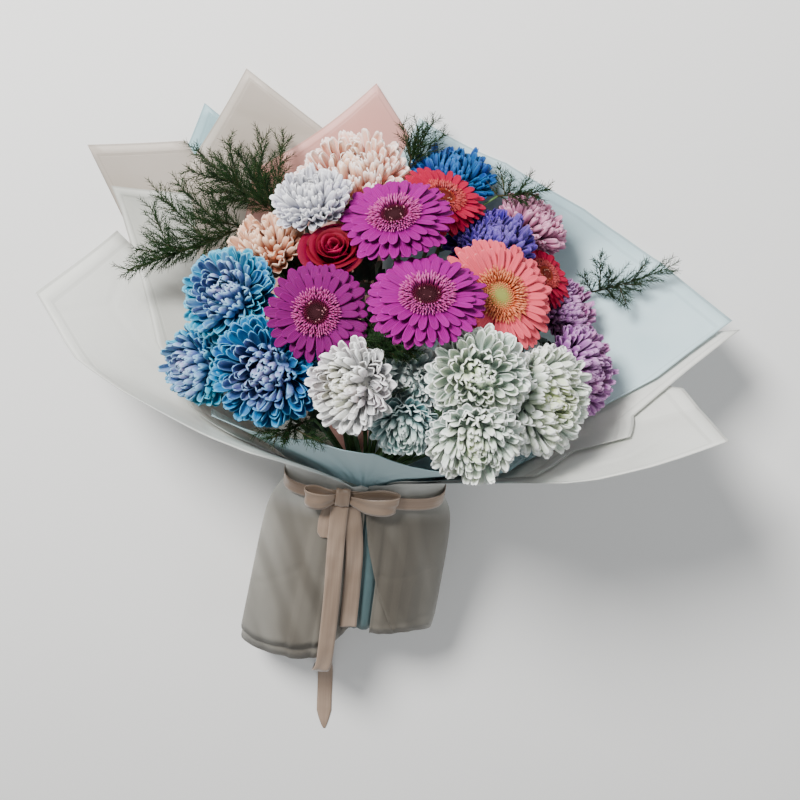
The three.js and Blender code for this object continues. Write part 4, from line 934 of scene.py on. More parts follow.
def gerbera(flower, rays):
    """rays: how many there are in the lowest row."""
    pile = Pile()
    draw, R = flower.draw, flower.radius
    centre, axes = np.array(flower.centre), flower.axes
    normal = axes[2]
    for row, (reach, rise, height, wide) in enumerate(RAY_ROWS):
        number = rays - FEWER_RAYS * row
        for i in range(number):
            way = outward((i + 0.37 * row + draw.uniform(-0.14, 0.14)) * 2 * math.pi / number)
            far = R * reach * draw.uniform(0.93, 1.03)
            root = centre + (way * 0.2 * R + [0, 0, height * MM]) @ axes
            lift = height * MM + (rise + draw.uniform(-0.05, 0.05)) * R
            tip = centre + (way * far + [0, 0, lift]) @ axes
            width = 2 * math.pi * R * 0.62 / rays * RAY_OVERLAP * wide * draw.uniform(0.84, 1.12)
            points = place_petal(RAY, root, tip, normal, width, 1.0, 0.16 + draw.uniform(-0.12, 0.12))
            points = pressed(flower, root, points)
            if points is not None:
                pile.add(RAY, points, (draw.random(), row / 2, draw.random()), 0)
    for ring in range(THREAD_RINGS):
        number = THREADS - FEWER_THREADS * ring
        for i in range(number):
            way = outward((i + 0.5 * ring + draw.uniform(-0.25, 0.25)) * 2 * math.pi / number)
            start = (0.34 - 0.030 * ring) * R
            long = (0.16 - 0.015 * ring) * R * draw.uniform(0.75, 1.3)
            up = 2.6 * MM + 0.55 * MM * ring
            root = centre + (way * start + [0, 0, up]) @ axes
            tip = centre + (way * (start + long * 0.8) + [0, 0, up + long * (0.5 + 0.1 * ring)]) @ axes
            points = place_petal(THREAD, root, tip, normal, THREAD_WIDTH, 1.0, draw.uniform(-0.4, 0.4))
            pile.add(THREAD, points, (draw.random(), 1 - ring / THREAD_RINGS, draw.random()), 1)
    add_dome(pile, flower, 0.31 * R, 5.0 * MM, -1.0 * MM, (0.5, 0.0, 0.0), 1)  # under the threads
    add_dome(pile, flower, 0.24 * R, 8.0 * MM, -6.0 * MM, (0.5, 0.0, 0.0), 2)  # the calyx
    return pile


def gerbera_heart(flower):
    pile = Pile()
    draw, R = flower.draw, flower.radius * HEART_PART
    centre, axes = np.array(flower.centre), flower.axes
    add_dome(pile, flower, R, 2.4 * MM, 4.2 * MM, (0.5, 0.3, 0.5))
    for i in range(BUDS):
        far = math.sqrt((i + 0.5) / BUDS)
        size = (0.9 + 0.75 * far) * MM * draw.uniform(0.85, 1.15)
        place = R * far * outward(i * GOLDEN_ANGLE)
        place[2] = (6.2 - 1.6 * (1 - far) ** 2 - 1.0 * far ** 3) * MM
        points = BUD["points"] * [size, size, 1.9 * MM] + place - [0, 0, 1.0 * MM]
        pile.add(BUD, centre + points @ axes, (draw.random(), far, draw.random()))
    return pile


# %% [markdown]
# A ray is darker at its foot, lighter at its tip, and has fine grooves along its length. The
# threads are paler than the rays. The buds of the disc have a few light specks. They are
# nearly black in the magenta flowers and brown in the red ones, and the coral flower's heart
# is yellow-green.


# %% Gerbera finishes
def ray_finish(name, foot, middle, tip):
    s = Shades(name, Roughness=0.6, Subsurface_Weight=0.06, Subsurface_Scale=0.002,
               Specular_IOR_Level=0.1)
    u, v = s.own()
    own_draw, _, _ = s.tint()
    tone = s.ramp(v, [(0.0, foot), (0.45, middle), (0.85, middle), (1.0, tip)])
    tone = s.tinge(own_draw, 0.25, tone, foot)
    grooves = s.math("SINE", s.math("MULTIPLY", u, 38.0))
    fine = s.noise(s.stretched(u, v, 26, 1.4), 1.0, 2)
    tone = s.tinge(s.grey(grooves, 0.2, 0.95), 0.42, tone, foot)
    tone = s.tinge(s.grey(fine, 0.42, 0.7), 0.28, tone, tip)
    return s.finish(tone, height=s.math("MULTIPLY_ADD", grooves, 0.4, fine), bump=0.3, distance=0.0006)


def thread_finish(name, low, high):
    s = Shades(name, Roughness=0.5, Subsurface_Weight=0.1, Subsurface_Scale=0.002)
    _, v = s.own()
    own_draw, _, _ = s.tint()
    tone = s.mix(s.grey(v, 0.2, 0.9), low, high)
    tone = s.tinge(own_draw, 0.35, tone, low)
    return s.finish(tone, height=s.noise(s.here(), 900, 2), bump=0.2)


def heart_finish(name, dark, light, speck, inner=0.55):
    s = Shades(name, Roughness=0.8, Specular_IOR_Level=0.15)
    own_draw, far, _ = s.tint()
    tone = s.ramp(far, [(0.0, dark), (inner, dark), (inner + 0.35, light)])
    tone = s.tinge(s.grey(own_draw, 0.9, 0.94), 0.6, tone, speck)
    return s.finish(tone, height=s.noise(s.here(), 1500, 2), bump=0.3)


def calyx_finish():
    s = Shades("calyx_green", Roughness=0.55)
    tone = s.mix(s.noise(s.here(), 300, 3), (0.10, 0.22, 0.06), (0.20, 0.34, 0.12))
    return s.finish(tone, height=s.noise(s.here(), 600, 3), bump=0.3)


calyx_green = calyx_finish()
# Each flower's rays, at the foot, the middle and the tip, and its threads, low and high
DYES = {
    "magenta": ((0.07, 0.0, 0.05), (0.235, 0.0, 0.165), (0.42, 0.012, 0.33),
                (0.14, 0.0, 0.06), (0.52, 0.05, 0.30)),
    # a darker copy of the magenta: painted shade for the left flower
    "shaded_magenta": ((0.04, 0.0, 0.028), (0.14, 0.0, 0.098), (0.27, 0.003, 0.20),
             (0.10, 0.0, 0.04), (0.42, 0.03, 0.22)),
    "coral": ((0.46, 0.022, 0.05), (0.70, 0.085, 0.125), (0.82, 0.25, 0.27),
              (0.50, 0.09, 0.02), (0.76, 0.24, 0.11)),
    "scarlet": ((0.15, 0.0, 0.010), (0.36, 0.001, 0.035), (0.50, 0.03, 0.08),
                (0.20, 0.001, 0.01), (0.56, 0.06, 0.06)),
}
RAY_FINISHES = {
    name: (ray_finish(name + "_rays", *dyes[:3]), thread_finish(name + "_threads", *dyes[3:]), calyx_green)
    for name, dyes in DYES.items()
}
HEARTS = {
    "dark": heart_finish("dark_heart", (0.020, 0.001, 0.004), (0.075, 0.002, 0.02), (0.62, 0.26, 0.30)),
    "brown": heart_finish("brown_heart", (0.10, 0.008, 0.006), (0.24, 0.03, 0.015), (0.60, 0.32, 0.24)),
    "green": heart_finish("green_heart", (0.24, 0.25, 0.06), (0.60, 0.17, 0.08), (0.60, 0.42, 0.16), 0.3),
}

# %% All the gerberas
GERBERAS = {  # rays in a row, the dye of the rays, their slot, and the heart
    "gerbera_magenta_top": (30, "magenta", "petals_magenta", "dark"),
    "gerbera_magenta_middle": (31, "magenta", "petals_magenta", "dark"),
    # the left flower's rays and threads take the magenta with painted shade
    "gerbera_magenta_left": (29, "shaded_magenta", "petals_magenta", "dark"),
    "gerbera_salmon": (36, "coral", "petals_coral", "green"),
    "gerbera_red_top": (30, "scarlet", "petals_red", "brown"),
    "gerbera_red_right": (28, "scarlet", "petals_coral", "brown"),
}
for name, (rays, dye, slot, heart) in GERBERAS.items():
    flower = by_name[name]
    settle(gerbera(flower, rays).make(name + "_bloom", RAY_FINISHES[dye]), name)
    disc = gerbera_heart(flower).make(name + "_disc", [HEARTS[heart]])
    settle(disc, name + "_heart")

# %% [markdown]
# ## The rose
#
# Rose petals wrap round each other. Each one is a grid bent round the flower's axis: narrow
# and closed in the middle, wider and rolled outwards towards the outside.


# %% Rose
rose_sheet = start_from(
    bpy.ops.mesh.primitive_grid_add, "rose_leaf", x_subdivisions=10, y_subdivisions=8, size=1
)
thicken(rose_sheet, 0.02)
ROSE_LEAF = take_pattern(rose_sheet)
ROSE_PETALS = 24
ROSE_FOOT = -0.42  # the petals' feet, as a part of the radius
ROLLED_FROM = 0.78  # the part of a petal's height above which it rolls outwards


def rose(flower):
    pile = Pile()
    draw, R = flower.draw, flower.radius
    centre, axes = np.array(flower.centre), flower.axes
    root = centre + np.array([0, 0, ROSE_FOOT * R]) @ axes
    x, y, z = (ROSE_LEAF["points"] + [0, 0.5, 0]).T
    for i in range(ROSE_PETALS):
        far = i / (ROSE_PETALS - 1)
        turn = i * GOLDEN_ANGLE
        span = math.radians(210 - 100 * far)
        wall = R * (0.07 + 0.31 * far) + z * 0.04 * R
        opening = math.radians(2 + 24 * far ** 1.3 + draw.uniform(-3, 3))
        long = R * (0.95 + 0.1 * far) * draw.uniform(0.93, 1.05)
        bulge = np.sin(np.pi * np.clip(y, 0, 1)) * 0.15 * R * (0.5 + far)
        roll = np.clip(y - ROLLED_FROM, 0, 1) ** 1.4 * R * (0.4 + 1.6 * far)
        rounded = 1 - 0.22 * (2 * np.abs(x)) ** 2.4
        out = wall + y * long * math.sin(opening) + bulge * 0.6 + roll
        up = y * rounded * long * math.cos(opening) - roll * 0.55 * far + ROSE_FOOT * R
        sweep = turn + x * span * (0.42 + 0.58 * np.sin(np.pi * np.clip(0.15 + 0.6 * y, 0, 1)))
        out = out + 0.03 * R * np.sin(7 * x + turn) * y * y * far  # a little wave in the rim
        points = np.stack([out * np.cos(sweep), out * np.sin(sweep), up], axis=1)
        points = pressed(flower, root, centre + points @ axes)
        if points is not None:
            pile.add(ROSE_LEAF, points, (draw.random(), far, draw.random()))
    add_dome(pile, flower, 0.30 * R, 0.2 * R, -0.5 * R, (0.5, 0.0, 0.0), 1)
    return pile


# The rose's petals get the same painted shade at the foot and the same pale rim, partly painted highlight.
crimson_petals = petal_finish(
    "crimson_petals", [(0.0, (0.025, 0.0, 0.002)), (0.6, (0.11, 0.0, 0.006)), (1.0, (0.19, 0.0, 0.011))],
    (0.32, 0.005, 0.02), (0.02, 0.0, 0.001), rim_part=0.35, thin=0.5)
rose_bloom = rose(by_name["rose_red"]).make("rose_red_bloom", [crimson_petals, calyx_green])
settle(rose_bloom, "rose_red")

# %% [markdown]
# ## Stems and leaves
#
# Every flower has its own stem, and so has every spray of fern. At the binding they lie in
# rings round a middle one, and below it they run on to their cut ends. Leaves stand under
# the flowers and fill the gaps between them; their near-black green is their own dark green
# with painted shade for the deep gaps. A stem's place at the binding is the free one that is
# nearest to where it wants to go, and the widest stems choose first.
#
# A spray is given by its foot, its tip and its arms. These are places in the view, in pixels,
# and how far out of the bunch they are in millimetres. An arm also says how far up the spray
# it starts.

# %% Where the stems run
FERNS = {
    "fern_left_high": ((276, 214, 68), (196, 150, 72),
                       [(0.05, (284, 138, 66)), (0.2, (262, 138, 64)), (0.45, (228, 140, 68)),
                        (0.55, (208, 174, 80))]),
    "fern_left_low": ((246, 226, 66), (127, 270, 86),
                      [(0.12, (178, 184, 60)), (0.3, (158, 192, 70)), (0.5, (146, 238, 78))]),
    "fern_top_right": ((408, 172, 64), (418, 126, 76), [(0.25, (434, 120, 70)), (0.3, (402, 124, 78))]),
    "fern_right_high": ((498, 196, 72), (546, 190, 88), [(0.15, (500, 168, 66)), (0.4, (530, 176, 70))]),
    "fern_right": ((592, 292, 12), (668, 268, 44),
                   [(0.1, (600, 256, 48)), (0.35, (626, 304, 52)), (0.5, (646, 262, 44))]),
    "fern_middle": ((378, 352, 186), (376, 320, 222), [(0.4, (354, 326, 220)), (0.45, (400, 330, 218))]),
    "fern_low": ((304, 422, 170), (270, 438, 204), [(0.3, (322, 442, 206))]),
}
STEM_PITCH, STEM_RADIUS, STEM_BELOW = 4.8 * MM, 2.3 * MM, 190 * MM
STEM_SPREAD = 1.3  # how much wider the stems stand at their cut ends than at the binding
TIED_LENGTH, NECK_LENGTH, STEM_GAP = 8 * MM, 24 * MM, 0.3 * MM
FERN_SLIM, FERN_NECK = 0.62, 14 * MM
AIM_REACH = 14  # how far out in the bundle a stem wants to lie, for a slope of 1


def stem_paths():
    slots = [(0.0, 0.0)]
    for ring in (1, 2, 3):
        for i in range(6 * ring):
            turn = i * math.pi / (3 * ring)
            slots.append((ring * STEM_PITCH * math.sin(turn), ring * STEM_PITCH * math.cos(turn)))
    ends = []
    for flower in flowers:
        neck = flower.foot + flower.stem_way * NECK_LENGTH
        ends.append((neck, flower.foot + flower.stem_way * STEM_GAP, 1.0, flower))
    for foot, tip, _ in FERNS.values():
        foot = seen_place(*foot)
        way = (seen_place(*tip) - foot).normalized()
        ends.append((foot - way * FERN_NECK, foot - way * STEM_GAP, FERN_SLIM, None))

    def aim(end):
        start = end[0] - BINDING
        return start.dot(SIDE) / start.dot(AXIS), start.dot(FRONT) / start.dot(AXIS)

    ends.sort(key=lambda end: -math.hypot(*aim(end)))
    paths = []
    for end in ends:
        wish = [slope * AIM_REACH * MM for slope in aim(end)]
        slots.sort(key=lambda place: math.hypot(place[0] - wish[0], place[1] - wish[1]))
        right, front = slots.pop(0)

        def at(along, spread):
            return BINDING + AXIS * along + SIDE * (right * spread) + FRONT * (front * spread)

        neck, top, slim, flower = end
        path = [at(-STEM_BELOW, STEM_SPREAD), at(-TIED_LENGTH, 1), at(TIED_LENGTH, 1), neck, top]
        paths.append((path, slim, flower))
    return paths


stems_run = stem_paths()
print("stems", len(stems_run))


# %% Stem tubes and leaves
def ring_pattern(name, around, rings):
    """A closed tube of rings of points, as one pattern whose points are placed later."""
    tube = start_from(
        bpy.ops.mesh.primitive_cylinder_add, name,
        vertices=around, radius=1, depth=1, end_fill_type="NGON"
    )
    bpy.ops.object.mode_set(mode="EDIT")
    shape = bmesh.from_edit_mesh(tube.data)
    for edge in shape.edges:
        a, b = edge.verts
        edge.select = abs(a.co.z - b.co.z) > 0.5
    bmesh.update_edit_mesh(tube.data)
    bpy.ops.mesh.subdivide(number_cuts=rings - 2)
    bpy.ops.object.mode_set(mode="OBJECT")
    return take_pattern(tube)


EASE = 0.02  # the part of a tube's length over which its bends are rounded


def tube_points(pattern, path, radii):
    """Lays a tube's pattern along a path of points, smoothly."""
    path = [np.array(p) for p in path]
    steps = [np.linalg.norm(b - a) for a, b in zip(path, path[1:])]
    lengths = np.concatenate([[0], np.cumsum(steps)])
    lengths /= lengths[-1]
    local = pattern["points"]
    t = np.clip(local[:, 2] + 0.5, 0, 1)

    def at(value):
        return np.stack([np.interp(value, lengths, [p[k] for p in path]) for k in range(3)], axis=1)

    before, here, after = at(np.clip(t - EASE, 0, 1)), at(t), at(np.clip(t + EASE, 0, 1))
    middle = (before + here + after) / 3
    ends = (t < EASE) | (t > 1 - EASE)
    middle[ends] = here[ends]
    way = unit_rows(after - before)
    x = unit_rows(np.cross(way, np.array(SIDE) + [0, 0.1, 0]))
    y = np.cross(way, x)
    size = np.interp(t, np.linspace(0, 1, len(radii)), radii)
    return middle + (x * local[:, :1] + y * local[:, 1:2]) * size[:, None]


STEM = ring_pattern("stem", 9, 24)
LEAF = petal_pattern("leaf", [
    (0.0, 0.06, 0.0, 0.0), (0.12, 0.20, 0.03, 0.03), (0.26, 0.38, 0.05, 0.05), (0.34, 0.28, 0.06, 0.04),
    (0.48, 0.50, 0.07, 0.07), (0.58, 0.34, 0.07, 0.05), (0.70, 0.44, 0.06, 0.07), (0.80, 0.27, 0.04, 0.04),
    (0.92, 0.20, 0.01, 0.03), (1.0, 0.04, -0.02, 0.0),
], ribs=(0, 0, -0.03, 0, 0), thick=0.012)
LEAVES_ON_STEM, LEAF_SPACING = 9, 12  # the first leaf starts 6 mm above the neck
LEAVES_IN_GAP = 7
DEEP_LEAF_WIDTH = 24 * MM
DEEP_LEAVES = [  # they close a gap where the paper would show between the heads
    ((264, 272, 70), (316, 262, 84)), ((280, 244, 68), (298, 286, 84)), ((258, 256, 70), (302, 278, 80)),
    ((306, 282, 76), (272, 262, 90)), ((352, 286, 96), (376, 254, 110)), ((384, 280, 96), (362, 262, 112)),
]


def stems_and_leaves():
    pile = Pile()
    draw = random.Random(77)

    def add_leaf(points):
        pile.add(LEAF, points, (draw.random(), 0.5, 0.5), 1)

    for path, slim, flower in stems_run:
        radius = STEM_RADIUS * slim
        points = tube_points(STEM, path, [radius] * 4 + [radius * 0.95])
        pile.add(STEM, points, (draw.random(), 0.5, 0.5), 0)
        if flower is None:
            continue
        neck = np.array(path[3])
        down = unit(np.array(path[2]) - neck)
        for i in range(LEAVES_ON_STEM):
            start = neck + down * (-6 + LEAF_SPACING * i) * MM
            out = outward(i * 2.4 + draw.uniform(-0.4, 0.4)) @ flower.axes
            out = unit(out - down * 0.35)
            long = draw.uniform(34, 52) * (1 - 0.05 * i) * MM
            roll = draw.uniform(-0.4, 0.4)
            points = place_petal(LEAF, start, start + out * long, -down, long * 0.62, 1.0, roll)
            points = pressed(flower, start, points)
            if points is not None and fits(points):
                add_leaf(points)
    for a, b in neighbours:
        way = np.array((a.normal + b.normal).normalized())
        side = np.array((b.centre - a.centre).normalized())
        middle = np.array(a.centre + (b.centre - a.centre) * (a.radius / (a.radius + b.radius)))
        for i in range(LEAVES_IN_GAP):
            shift = np.cross(way, side) * draw.uniform(-26, 26) * MM + side * draw.uniform(-5, 5) * MM
            start = middle + shift - way * draw.uniform(30, 42) * MM
            lean = way + np.array([draw.uniform(-0.35, 0.35) for _ in range(3)])
            tip = start + unit(lean) * draw.uniform(26, 38) * MM
            if not (clear_of_flowers(tip) and clear_of_flowers(start * 0.3 + tip * 0.7)):
                continue
            wide, roll = draw.uniform(14, 22) * MM, draw.uniform(-1, 1)
            points = place_petal(LEAF, start, tip, side, wide, 1.0, roll)
            if fits(points):
                add_leaf(points)
    for start, tip in DEEP_LEAVES:
        start, tip = np.array(seen_place(*start)), np.array(seen_place(*tip))
        points = place_petal(LEAF, start, tip, np.array(FACE @ Vector((0, 0, 1))), DEEP_LEAF_WIDTH)
        if clear_of_flowers(tip) and fits(points):
            add_leaf(points)
    core = DOME["points"] * [14.4 * MM, 14.4 * MM, 7 * MM]  # the stems pressed together at the tie
    pile.add(DOME, np.array(BINDING) + core @ np.array([SIDE, FRONT, AXIS]), (0.5, 0.5, 0.5), 0)
    return pile


def green_finish(name, dark, light, scale, bump):
    s = Shades(name, Roughness=0.5, Subsurface_Weight=0.05, Subsurface_Scale=0.003)
    own_draw, _, _ = s.tint()
    tone = s.mix(s.noise(s.here(), scale, 4), dark, light)
    tone = s.tinge(own_draw, 0.4, tone, dark)
    return s.finish(tone, height=s.noise(s.here(), scale * 3, 3), bump=bump)


stem_green = green_finish("stem_green", (0.03, 0.08, 0.022), (0.10, 0.19, 0.055), 60, 0.25)
# near-black: the leaves' own dark green with painted shade, as they sit deep in the gaps between the heads
leaf_green = green_finish("leaf_green", (0.004, 0.014, 0.006), (0.018, 0.050, 0.016), 90, 0.4)
settle(stems_and_leaves().make("stems_and_leaves", [stem_green, leaf_green]), "stems")

# %% [markdown]
# ## Fern
#
# The sprays are wiry: thin branches, thinner twigs at a sharp angle, and hundreds of fine
# needles that lean towards the tip. One needle is modelled, with the fewest faces that close.

# %% Needle and twig
needle = start_from(
    bpy.ops.mesh.primitive_cone_add, "needle",
    vertices=3, radius1=1, radius2=0.3, depth=1, location=(0, 0, 0.5)
)
bpy.ops.object.transform_apply(location=True)
NEEDLE = take_pattern(needle)
TWIG = ring_pattern("twig", 5, 7)
NEEDLE_RADIUS, NEEDLES_IN_RING = 0.36 * MM, 3
TWIG_RADII = [0.42 * MM, 0.36 * MM, 0.2 * MM]
TWIG_STEP, LONGEST_TWIG = 3.6 * MM, 0.036
SAG = 0.24  # how high a branch bows up in its middle, as a part of its length


def needle_points(base, way, length):
    z = unit(way)
    x = unit(np.cross(z, [0.31, 0.77, 0.55]))  # any way that isn't along a needle
    local = NEEDLE["points"] * [NEEDLE_RADIUS, NEEDLE_RADIUS, length]
    return base + local @ np.array([x, np.cross(z, x), z])


def free(end):
    """Whether a twig may end here: clear of the flowers and inside the papers."""
    if not clear_of_flowers(end, 0.5 * MM):
        return False
    kept = kept_inside(end[None, :], np.array(BINDING), NEEDLE_ROOM)
    return np.allclose(kept[0], end)


def bowed(a, b, t):
    """The point at t on a branch from a to b."""
    return a + (b - a) * t + UP * np.linalg.norm(b - a) * SAG * t * (1 - t)


def side_and_up(way, hint):
    side = unit(np.cross(way, hint))
    return side, np.cross(side, way)


# %% A spray
def add_needles(pile, draw, a, b, size, step):
    """Rings of needles from a to b, shorter towards b."""
    way = unit(b - a)
    side, up = side_and_up(way, [0.2, 0.3, 1.0])
    count = max(3, int(np.linalg.norm(b - a) / step))
    for i in range(count):
        base = a + (b - a) * (i + 0.5) / count
        for k in range(NEEDLES_IN_RING):
            turn = 2.1 * k + 1.1 * i + draw.uniform(-0.4, 0.4)
            out = side * math.cos(turn) + up * math.sin(turn)
            lean = unit(way * draw.uniform(1.0, 1.7) + out)
            long = size * draw.uniform(0.7, 1.2) * (1.1 - 0.4 * i / count)
            if clear_of_flowers(base + lean * long):
                pile.add(NEEDLE, needle_points(base, lean, long), (draw.random(), i / count, 0.5), 0)


def spray(branches, seed):
    """branches: a foot, a tip and a radius each. Each gets twigs, and each twig gets needles."""
    pile = Pile()
    draw = random.Random(seed)
    for foot, tip, core in branches:
        path = [bowed(foot, tip, t) for t in np.linspace(0, 1, 6)]
        pile.add(TWIG, tube_points(TWIG, path, [core, core * 0.8, core * 0.35]), (0.5, 0.5, 0.9), 0)
        long = np.linalg.norm(tip - foot)
        number = int(long / TWIG_STEP)
        for i in range(number):
            t = (i + 0.4) / number
            base = bowed(foot, tip, t)
            way = unit(bowed(foot, tip, min(1, t + 0.03)) - bowed(foot, tip, max(0, t - 0.03)))
            side, up = side_and_up(way, [0.3, 0.2, 1.0])
            turn = 2.4 * i + draw.uniform(-0.5, 0.5)
            out = side * math.cos(turn) + up * math.sin(turn) * 0.75
            lean = unit(way * draw.uniform(1.1, 1.9) + out)
            twig = min(LONGEST_TWIG, 0.5 * long) * (1.05 - 0.6 * t) * draw.uniform(0.7, 1.15)
            end = base + lean * twig
            if not free(end):
                twig *= 0.5
                end = base + lean * twig
                if not free(end):
                    continue
            middle = (base + end) / 2 + way * 0.04 * twig
            points = tube_points(TWIG, [base, middle, end], TWIG_RADII)
            pile.add(TWIG, points, (draw.random(), 0.5, 0.6), 0)
            add_needles(pile, draw, base, end, 7.5 * MM, 2.6 * MM)
        add_needles(pile, draw, bowed(foot, tip, 0.55), tip, 7 * MM, 3.2 * MM)
    return pile


# %% All the sprays
MAIN_BRANCH, ARM, THIN_ARM = 1.1 * MM, 0.8 * MM, 0.6 * MM  # their radii
MORE_ARMS = {  # thin ones that the solids don't have
    "fern_left_high": [(0.0, (254, 158, 62)), (0.1, (238, 150, 60)), (0.25, (216, 158, 66)),
                       (0.35, (200, 190, 84)), (0.15, (226, 196, 84)), (0.5, (188, 170, 76)),
                       (0.05, (262, 176, 80)), (0.1, (244, 200, 84)), (0.3, (214, 206, 86))],
    "fern_left_low": [(0.05, (212, 196, 70)), (0.15, (188, 212, 66)), (0.3, (168, 236, 84)),
                      (0.45, (140, 262, 86)), (0.5, (136, 250, 82)), (0.1, (206, 244, 84)),
                      (0.25, (182, 256, 86)), (0.6, (150, 206, 76)), (0.05, (214, 216, 84))],
    "fern_right_high": [(0.2, (512, 176, 72)), (0.3, (520, 192, 84)), (0.0, (486, 180, 76)),
                        (0.5, (538, 196, 88)), (0.2, (526, 202, 88))],
    "fern_right": [(0.0, (584, 276, 40)), (0.2, (610, 270, 48)), (0.2, (612, 296, 44)),
                   (0.4, (640, 284, 50))],
    "fern_middle": [(0.1, (366, 318, 214)), (0.2, (388, 318, 220)), (0.1, (350, 338, 212)),
                    (0.1, (408, 342, 212)), (0.0, (372, 334, 216)), (0.0, (396, 336, 214)),
                    (0.3, (366, 344, 238)), (0.4, (392, 352, 240)), (0.4, (410, 354, 236)),
                    (0.3, (352, 342, 234)), (0.5, (378, 340, 242)), (0.5, (400, 344, 246)),
                    (0.3, (374, 347, 258)), (0.4, (390, 353, 252)), (0.4, (402, 351, 246)),
                    (0.35, (382, 343, 260)), (0.4, (364, 340, 250)), (0.3, (414, 350, 240))],
    "fern_low": [(0.1, (290, 424, 190)), (0.2, (284, 440, 198)), (0.0, (310, 428, 192)),
                 (0.3, (258, 432, 200))],
    "fern_top_right": [(0.1, (444, 134, 68)), (0.2, (410, 140, 72)), (0.3, (426, 128, 74))],
}


def fern_finish():
    s = Shades("fern_green", Roughness=0.6, Specular_IOR_Level=0.2)
    own_draw, _, wood = s.tint()
    tone = s.mix(own_draw, (0.002, 0.012, 0.003), (0.017, 0.056, 0.011))
    tone = s.tinge(s.grey(own_draw, 0.9, 1.0), 0.7, tone, (0.06, 0.035, 0.015))
    tone = s.mix(s.grey(wood, 0.55, 0.9), tone, (0.05, 0.045, 0.022))
    return s.finish(tone, height=s.noise(s.here(), 700, 2), bump=0.2)


fern_green = fern_finish()
for number, (name, (foot, tip, arms)) in enumerate(FERNS.items()):
    a, b = np.array(seen_place(*foot)), np.array(seen_place(*tip))
    branches = [(a, b, MAIN_BRANCH)]
    for radius, group in ((ARM, arms), (THIN_ARM, MORE_ARMS[name])):
        for part, end in group:
            branches.append((bowed(a, b, part), np.array(seen_place(*end)), radius))
    settle(spray(branches, 60 + number).make(name + "_spray", [fern_green]), name)

# %% [markdown]
# ## The paper sheets
#
# A sheet is one smooth grid on its layer, from edge to edge and from the flowers' rim to the
# handle's end. Its rim runs straight between the corners of the sheet laid flat. All sheets
# share the same soft pleats, so they still never cross. Solidify closes each one.


# %% Rims and pleats
def rim_along(corners, azimuth):
    corners = np.array(corners, dtype=float)
    i = np.clip(np.searchsorted(corners[:, 0], azimuth, side="right") - 1, 0, len(corners) - 2)
    a0, w0 = corners[i].T
    a1, w1 = corners[i + 1].T
    s0 = w0 / np.cos(np.radians(cone_angle(a0)))
    s1 = w1 / np.cos(np.radians(cone_angle(a1)))

    def turn(a):
        return np.radians(a * 0.85)

    inverse = np.sin(turn(a1 - azimuth)) / s0 + np.sin(turn(azimuth - a0)) / s1
    return np.cos(np.radians(cone_angle(azimuth))) * np.sin(turn(a1 - a0)) / inverse


def pleats(azimuth, along):
    """Soft pleats that all the sheets share: they fade out away from the ribbon."""
    turn = np.radians(azimuth)
    wave = (
        0.9 * np.sin(13 * turn + 0.7) + 0.7 * np.sin(21 * turn + 2.1) + 0.5 * np.sin(34 * turn + 4.0)
    )
    near = np.exp(-np.maximum(0, along - 10) / 90.0) * (along >= 0) + (along < 0) * (
        0.9 + 0.25 * np.minimum(1, -along / 150)
    )
    near = near * np.clip((np.abs(along) - 9) / 18, 0, 1) ** 2
    far = (1.8 * np.sin(5 * turn + 1.0) + 1.3 * np.sin(9 * turn + along / 55.0)) * np.clip(
        (along - 50) / 180, 0, 1
    )
    return wave * near + far


def floor_level(azimuth, layer):
    return FLOOR_STEP * np.interp(np.mod(azimuth, 360), FOLDS, OUTSIDE[layer])


ROWS_UP, ROWS_DOWN, COLUMN_STEP = 34, 20, 2.5
FILM = 0.4 * MM  # how thick a sheet is made here
RIM_DROP, DROP_FROM, DROP_TO = 5.8, 180, 340  # a wide rim hangs in, to stay inside the frame
CURL_ENDS, CURL_DEPTH = 14, 26


def paper_sheet(name, curl=None):
    """curl: where the rim rolls out, from and to in degrees, and how far in millimetres."""
    layer, top, tail = SHEETS[name]
    tail = np.array(tail, dtype=float)
    corners = [corner[0] for corner in top] + [corner[0] for corner in tail]
    even = np.arange(top[0][0], top[-1][0], COLUMN_STEP)
    columns = np.unique(np.round(np.concatenate([even, corners]), 2))
    columns = columns[(columns >= top[0][0]) & (columns <= top[-1][0])]
    reach = rim_along(top, columns)
    below = np.interp(columns, tail[:, 0], tail[:, 1])
    up = np.linspace(0, 1, ROWS_UP) ** 1.15
    down = np.linspace(1, 0, ROWS_DOWN, endpoint=False)
    along = np.concatenate([-down[:, None] * below, up[:, None] * reach], axis=0).T
    azimuth = np.repeat(columns[:, None], along.shape[1], axis=1)
    radius = paper_radius(azimuth, along, layer) + pleats(azimuth, along)
    radius -= RIM_DROP * np.clip((radius - DROP_FROM) / (DROP_TO - DROP_FROM), 0, 1)
    room = reach[:, None] - along  # how far a point is from the flowers' rim
    if curl:
        start, end, lift = curl
        here = np.clip((azimuth - start) / CURL_ENDS, 0, 1) * np.clip((end - azimuth) / CURL_ENDS, 0, 1)
        radius += lift * here * np.clip(1 - room / CURL_DEPTH, 0, 1) ** 2
    points = around_axis(azimuth, along, radius)
    level = (floor_level(azimuth, layer) + PAPER / 2) * MM
    points[..., 2] = np.maximum(points[..., 2], level)
    columns_count, rows_count = along.shape
    faces = []
    for c in range(columns_count - 1):
        for r in range(rows_count - 1):
            a = c * rows_count + r
            faces.append((a, a + rows_count, a + rows_count + 1, a + 1))
    own = np.stack([np.radians(azimuth) * 0.2, room * MM], axis=-1)
    sheet = sheet_from_grid(name + "_paper", points, faces, own, FILM)
    print(sheet.name, len(sheet.data.polygons), "faces")
    return sheet


